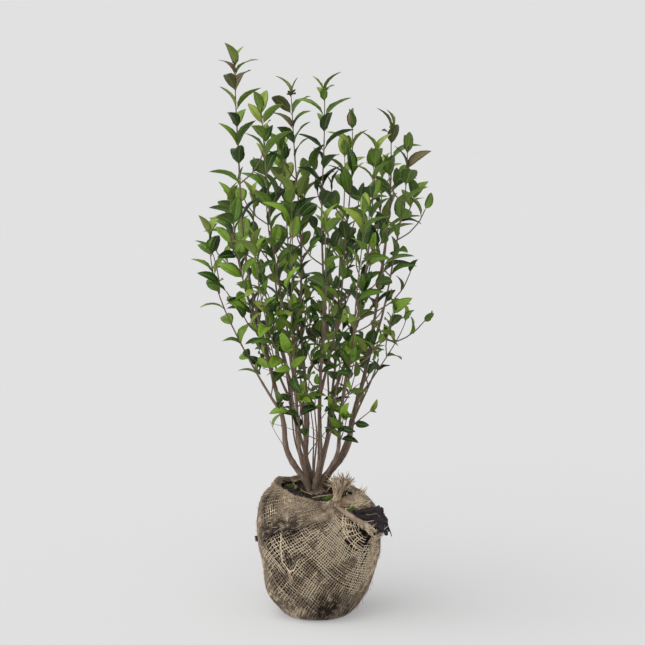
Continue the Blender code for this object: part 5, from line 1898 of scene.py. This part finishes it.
class PRIVET_OT_knot(bpy.types.Operator):
    """The tied knot with its tuft, the tongues of cloth, the peat flap and loose threads"""

    bl_idname = "privet.knot"
    bl_label = "Knot and torn place"

    def execute(self, context):
        _, colours, _ = settings()
        cloth = lint_finish("lint", colours)
        # The flap's pale grains, six times as light as the peat, are partly drier peat and partly
        # painted highlights on its crinkles.
        peat = soil_finish("peat", colours.peat, shaded(colours.peat, 6.0))
        add_piece(self.gather(), "knot_gather", "hessian", [cloth], ["hessian_knot"])
        for tongue, name, slot, finish, node in (
            (TAIL, "knot_tail", "hessian", cloth, "hessian_tail"),
            (FAN, "knot_fan", "hessian", cloth, "hessian_fan"),
            (FLAP, "torn_flap", "soil", peat, "peat_flap"),
        ):
            piece = add_piece(self.tongue_mesh(tongue, name), name, slot, [finish], [node])
            thickened(piece, tongue.thick, 0.0)
        strand_piece(self.threads(), 4, "knot_threads", "hessian", thread_finishes(colours))
        roots = [
            plain_finish("wet_root", colours.peat, 0.9),
            plain_finish("pale_root", colours.bark_pale, 0.8),
        ]
        strand_piece(self.roots(), 6, "torn_roots", "soil", roots)
        return {"FINISHED"}

    def gather(self):
        """The twisted neck of cloth above the knot, open and ragged at its top."""
        bm = bmesh.new()
        bmesh.ops.create_circle(bm, segments=54, radius=1.0)
        foot = Vector(cloth_at(*KNOT_FOOT, -0.004))
        places = []
        for k, share in enumerate(np.linspace(0.0, 1.0, 22)):
            size = float(np.interp(share, *GATHER_SIZES))
            turn = Matrix.Rotation(0.06 * k, 4, "Z")
            flat = Matrix.Diagonal((size, size * GATHER_FLAT, 1, 1))
            places.append(Matrix.Translation(foot + GATHER_RISE * float(share)) @ turn @ flat)
        swept(bm, places)
        for vertex in bm.verts:
            share = (vertex.co.z - foot.z) / GATHER_RISE.z
            middle = foot + GATHER_RISE * share
            out = vertex.co - middle
            turn = math.atan2(out.y, out.x)
            fold = 0.26 * math.sin(7 * turn - 5 * share) + 0.17 * math.sin(13 * turn + 2 * share)
            vertex.co = middle + out * (1 + fold * (0.5 + 0.9 * share))
            ragged = noise.noise(Vector((3 * math.cos(turn), 3 * math.sin(turn), 0.0)))
            ragged += 0.4 * math.sin(9 * turn)
            vertex.co.z += 0.015 * ragged * smooth_step(0.50, 1.0, share)
        bmesh.ops.recalc_face_normals(bm, faces=bm.faces)
        bmesh.ops.solidify(bm, geom=bm.faces[:], thickness=0.0009)
        return mesh_of(bm, "knot_gather")

    def lie_of(self, tongue):
        """Where a tongue starts, the run to its end, and the way square to that."""
        start, run = Vector(tongue.start), Vector(tongue.end) - Vector(tongue.start)
        return start, run, Vector((-run.y, run.x)).normalized()

    def tongue_mesh(self, tongue, name):
        """A tongue that lies on the cloth, folded lengthwise, with a ragged end."""
        rows, columns = 40, 16
        bm = bmesh.new()
        bmesh.ops.create_grid(bm, x_segments=rows, y_segments=columns, size=0.5)
        start, run, square = self.lie_of(tongue)
        marks = np.linspace(0.0, 1.0, len(tongue.shares))
        for vertex in bm.verts:
            share, side = vertex.co.x + 0.5, vertex.co.y * 2
            rough = noise.noise(Vector((share * 9, side * 5, tongue.width * 900)))
            tooth = noise.noise(Vector((share * 17, side * 9, tongue.width * 500)))
            near_edge = smooth_step(0.6, 1.0, max(share, abs(side)))
            frayed = 1 + tongue.ragged * (0.5 * rough + tooth) * near_edge
            width = tongue.width * float(np.interp(share, marks, tongue.shares)) / 2
            spot = start + run * share * (0.65 + 0.35 * frayed) + square * side * width * frayed
            spot = spot + square * tongue.bow * math.sin(math.pi * share)
            fold = math.sin(side * tongue.folds + 2 * share) * (1 - 0.4 * share)
            lift = 0.0016 + tongue.lift * share**2 + tongue.crown * (1 - side * side)
            lift += 0.85 * tongue.thick * fold
            lift += tongue.stand * max(0.0, side * tongue.stand_side) * share
            lift += 0.0007 * rough + 0.8 * tongue.thick * noise.noise(vertex.co * 7)
            lift += 0.5 * tongue.thick * noise.noise(vertex.co * 19)
            vertex.co = self.standing(spot, lift)
        bmesh.ops.recalc_face_normals(bm, faces=bm.faces)
        return mesh_of(bm, name)

    def standing(self, spot, lift):
        """A place on the cloth, or above its rim and leaning in for what passes the rim."""
        past = max(0.0, -0.003 - spot.y)
        level = float(creases(spot.x, max(spot.y, -0.003)))
        place = Vector(cloth_at(spot.x, max(spot.y, -0.003), lift + 0.0012 - 0.8 * level))
        return place + Vector((0.0, 0.0, 0.95 * past)) - level_way(place) * 0.45 * past

    def threads(self):
        """Frayed ends of the tuft, tail and fan, turns round the neck, and threads in the tear."""
        rng = random.Random(SEED + 81)
        foot = Vector(cloth_at(*KNOT_FOOT, -0.004))
        top = foot + GATHER_RISE
        strands = []
        for _ in range(TUFT):
            turn = rng.uniform(0.0, math.tau)
            out = Vector((math.cos(turn), math.sin(turn) * GATHER_FLAT, 0.0))
            at = top + out * 0.015 * math.sqrt(rng.random())
            at += Vector((0.0, 0.0, -rng.uniform(0.004, 0.014)))
            way = out * rng.uniform(0.2, 1.1) + Vector((0.0, 0.0, rng.uniform(0.5, 1.5)))
            size = rng.choice((0.0003, 0.0004, 0.0005, 0.0009)) * rng.uniform(0.8, 1.2)
            length = rng.uniform(0.008, 0.028)
            tint = rng.choice((PALE, PALE, TAN, TAN, DAMP, RUSTY))
            strands.append(wisp(at, way, length, 0.55, size, tint, rng))
        for number in range(NECK_TURNS):
            turn = np.linspace(0.0, 2.6 * math.pi, 34) + number
            size = 0.0085 + 0.0006 * number
            rise = 0.007 + 0.0016 * number + 0.0012 * np.sin(turn * 1.3)
            middle = np.array(foot[:]) + np.array(GATHER_RISE[:]) * (rise / GATHER_RISE.z)[:, None]
            ring = np.stack((size * np.cos(turn), 0.85 * size * np.sin(turn), 0 * turn), axis=1)
            strands.append(Strand(middle + ring, 0.0009, rng.choice((TAN, DAMP, RUSTY))))
        for tongue, count, spread in FRAYS:
            strands += self.frays(tongue, count, spread, rng)
        strands += self.pulled(rng) + self.ladder(rng) + self.left_hem(rng)
        for _ in range(BURR_HAIRS):
            around, down = -0.200 + rng.uniform(-0.004, 0.004), 0.099 + rng.uniform(-0.005, 0.005)
            at = Vector(cloth_at(around, down, 0.001))
            way = level_way(at) + Vector((0.0, 0.0, rng.uniform(-0.6, 0.6)))
            strands.append(wisp(at, way, rng.uniform(0.004, 0.008), 0.3, 0.0012, DARK, rng))
        return strands

    def pulled(self, rng):
        """Threads pulled loose beside the torn place, which lift off towards their ends."""
        strands, marks = [], np.linspace(0.0, 1.0, 8)
        for _ in range(PULLED):
            start = (rng.uniform(0.068, 0.084), rng.uniform(0.080, 0.096))
            end = (rng.uniform(0.118, 0.136), rng.uniform(0.068, 0.086))
            stray = rng.uniform(-0.009, 0.006)
            wave = 0.0016 * np.sin(marks * rng.uniform(4, 9) + rng.uniform(0, 6))
            around = start[0] + (end[0] - start[0]) * marks + wave
            down = start[1] + (end[1] - start[1]) * marks + stray * marks**2 + wave
            lift = 0.002 + rng.uniform(0.003, 0.012) * marks**2
            lift = lift + 0.0016 * np.sin(marks * 9 + rng.uniform(0, 6))
            size, tint = rng.uniform(0.0004, 0.0008), rng.choice((PALE, PALE, TAN))
            strands.append(Strand(cloth_at(around, down, lift), size, tint))
        return strands

    def left_hem(self, rng):
        """The thick hem down the left front, its loose ends, and the threads beside its slit."""
        hem = np.linspace(0.0, 1.0, 40)
        around = np.interp(hem, HEM_MARKS, HEM_AROUND) + 0.0006 * np.sin(hem * 23)
        path = cloth_at(around, np.interp(hem, HEM_MARKS, HEM_DOWN), 0.0012)
        strands, marks = [Strand(path, 0.0009, PALE)], np.linspace(0.0, 1.0, 6)
        for _ in range(HEM_ENDS):
            spot = (rng.uniform(-0.101, -0.094), rng.uniform(0.144, 0.150))
            end = (spot[0] + rng.uniform(0.002, 0.006), spot[1] + rng.uniform(0.008, 0.022))
            around, down = (first + (last - first) * marks for first, last in zip(spot, end))
            size, tint = rng.uniform(0.0003, 0.0007), rng.choice((RUSTY, RUSTY, TAN, DAMP, PALE))
            strands.append(Strand(cloth_at(around, down, 0.0015), size, tint))
        at = np.linspace(0.0, 1.0, 9)
        for number in range(SLIT_THREADS):
            around = -0.107 + 0.0028 * number + 0.003 * at + 0.0006 * np.sin(at * 7 + number)
            down = 0.100 + 0.0028 * number * 0.6 + 0.036 * at * (1 - 0.05 * number)
            tint = DARK if number % 3 else DAMP
            strands.append(Strand(cloth_at(around, down, 0.0012), 0.0008, tint))
        return strands

    def ladder(self, rng):
        """Slack threads that still hang over the torn place: long curves, and rungs across."""
        marks = np.linspace(0.0, 1.0, NET_POINTS)[:, None]
        curves = []
        for k in range(LADDER[0] + 1):
            start = np.array((0.024 + 0.0045 * k, 0.022 + 0.006 * k))
            bend = np.array((0.000 + 0.0108 * k, 0.068 + 0.002 * k))
            end = np.array((0.054 + 0.003 * k, 0.104 - 0.005 * k))
            curve = curved(marks, start, bend, end)
            curves.append(curve + 0.0005 * np.sin(marks * 19 + k))
        strands = []
        for k, curve in enumerate(curves):
            strands.append(Strand(cloth_at(*curve.T, 0.0016), 0.00072, k % 3 == 2))
        for k in range(LADDER[1]):
            mark = 0.16 + 0.78 * (k + rng.uniform(-0.2, 0.2)) / LADDER[1]
            pair = (curves[0], curves[rng.choice((2, 3, 4))])
            low, high = (curve[int((NET_POINTS - 1) * mark)] for curve in pair)
            high = high + np.array((0.004, -0.012 * rng.random()))
            share = np.linspace(-0.12, 1.0, 7)[:, None]
            path = low + (high - low) * share + 0.0008 * np.sin(share * 5 + k)
            strands.append(Strand(cloth_at(*path.T, 0.0026), 0.00070, k % 4 == 3))
        return strands

    def frays(self, tongue, count, spread, rng):
        """Loose ends along a tongue's far end and its outer sides."""
        start, run, square = self.lie_of(tongue)
        strands = []
        for _ in range(count):
            share, side = rng.uniform(0.75, 1.0), rng.uniform(-1.0, 1.0)
            if rng.random() < spread * 0.5:
                share, side = rng.uniform(0.25, 1.0), rng.choice((-1.0, 0.95))
            spot = start + run * share + square * side * tongue.width * 0.45
            lift = 0.003 + tongue.lift * share
            lift += tongue.stand * max(0.0, side * tongue.stand_side) * share
            at = self.standing(spot, lift)
            ahead = spot + run.normalized() * 0.01 * share + square * side * spread * 0.010
            way = self.standing(ahead, lift + 0.003) - at
            length, size = rng.uniform(0.004, 0.020), rng.uniform(0.0003, 0.0006)
            strands.append(wisp(at, way, length, 0.50, size, rng.choice((PALE, PALE, TAN)), rng))
        return strands

    def roots(self):
        """Dark roots that hang from the flap, and one thin pale one across it."""
        rng = random.Random(SEED + 82)
        strands = []
        end = Vector(cloth_at(0.134, 0.060, 0.010))
        for _ in range(HANGING_ROOTS):
            at = end + Vector((rng.uniform(-0.002, 0.002), rng.uniform(-0.003, 0.003), 0.004))
            length, size = rng.uniform(0.024, 0.042), rng.uniform(0.0014, 0.0028)
            strands.append(wisp(at, Vector((0.35, -0.1, -1.0)), length, 0.22, size, 0, rng, 0.15))
        for _ in range(FLAP_ROOTS):
            around, down = rng.uniform(0.045, 0.138), rng.uniform(0.024, 0.060)
            at = Vector(cloth_at(around, down, 0.007))
            way = level_way(at) * 0.6 + any_way(rng, high=0.6)
            length, size = rng.uniform(0.004, 0.012), rng.uniform(0.0004, 0.0011)
            strands.append(wisp(at, way, length, 0.5, size, 0, rng))
        marks = np.linspace(0.0, 1.0, 16)
        around = 0.066 + 0.066 * marks
        down = 0.032 + 0.034 * marks**1.8 + 0.0022 * np.sin(11 * marks)
        lift = 0.012 + 0.003 * np.sin(7 * marks)
        strands.append(Strand(cloth_at(around, down, lift), 0.00034, 1))
        return strands


# Stage


class PRIVET_OT_stage(bpy.types.Operator):
    """Pale floor, soft lamp, even surround, and the camera at the picture's angle"""

    bl_idname = "privet.stage"
    bl_label = "Stage"

    def execute(self, context):
        _, _, stage = settings()
        scene = context.scene
        bm = bmesh.new()
        bmesh.ops.create_circle(bm, cap_ends=True, segments=64, radius=60.0)
        bmesh.ops.translate(bm, verts=bm.verts, vec=(0.0, 0.0, -0.0002))
        mesh = mesh_of(bm, "floor", smooth=False)
        floor = bpy.data.objects.new("floor", mesh)
        scene.collection.objects.link(floor)
        paper = Finish("floor_paper", 0.9)
        paper.colour((stage.floor,) * 3)
        paper.shade("Emission Color", (stage.glow,) * 3)
        paper.shade("Emission Strength", 1.0)
        paper.shade("Specular IOR Level", 0.0)
        mesh.materials.append(paper.material)
        floor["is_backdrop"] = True
        world = bpy.data.worlds.new("surround")
        world.use_nodes = True
        surround = Tree(world.node_tree)
        way = surround.value("ShaderNodeTexCoord", output="Generated")
        up = surround.value("ShaderNodeSeparateXYZ", None, {0: way}, "Z")
        span = {"From Min": 0.22, "From Max": 0.45, "To Min": stage.sky, "To Max": stage.fill}
        choices = {"interpolation_type": "SMOOTHSTEP"}
        fade = surround.value("ShaderNodeMapRange", choices, {"Value": up, **span})
        surround.put(world.node_tree.nodes["Background"].inputs["Color"], fade)
        scene.world = world
        scene.view_settings.view_transform = "Standard"
        lamp = bpy.data.lights.new("soft_lamp", "SUN")
        lamp.energy = stage.sun
        lamp.angle = math.radians(75)
        sun = bpy.data.objects.new("soft_lamp", lamp)
        sun.rotation_euler = (math.radians(33), 0.0, math.radians(-50))
        scene.collection.objects.link(sun)
        camera_data = bpy.data.cameras.new("camera")
        camera_data.lens = stage.lens
        camera_data.sensor_width = 36.0
        camera = bpy.data.objects.new("camera", camera_data)
        camera.location = stage.camera_place
        camera.rotation_euler = (math.pi / 2 - stage.camera_pitch, 0.0, 0.0)
        scene.collection.objects.link(camera)
        scene.camera = camera
        return {"FINISHED"}


class PRIVET_PT_panel(bpy.types.Panel):
    """Lists the pieces in the sidebar"""

    bl_label = "Privet shrub"
    bl_idname = "PRIVET_PT_panel"
    bl_space_type = "VIEW_3D"
    bl_region_type = "UI"
    bl_category = "Privet"

    def draw(self, context):
        for operator in OPERATORS:
            self.layout.operator(operator.bl_idname)
        for group in settings():
            for name in group.__annotations__:
                self.layout.prop(group, name)


OPERATORS = (
    PRIVET_OT_stage,
    PRIVET_OT_soil,
    PRIVET_OT_hessian,
    PRIVET_OT_knot,
    PRIVET_OT_limbs,
    PRIVET_OT_foliage,
)
GROUPS = {
    "privet_sizes": ShrubSizes,
    "privet_colours": ShrubColours,
    "privet_stage": StageSettings,
}
CLASSES = (*GROUPS.values(), *OPERATORS, PRIVET_PT_panel)


def register():
    """Makes the settings, operators and panel known to Blender."""
    for item in CLASSES:
        bpy.utils.register_class(item)
    for name, group in GROUPS.items():
        setattr(bpy.types.Scene, name, PointerProperty(type=group))


def unregister():
    """Takes them out again."""
    for name in GROUPS:
        delattr(bpy.types.Scene, name)
    for item in reversed(CLASSES):
        bpy.utils.unregister_class(item)


def main():
    """Builds the stage and every piece."""
    register()
    bpy.ops.privet.stage()
    bpy.ops.privet.soil()
    bpy.ops.privet.hessian()
    bpy.ops.privet.knot()
    bpy.ops.privet.limbs()
    bpy.ops.privet.foliage()
    boxes = {"cad": CAD_BOX, "visual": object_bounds()}
    {name: [list(corner) for corner in box] for name, box in boxes.items()}


if __name__ == "__main__":
    main()
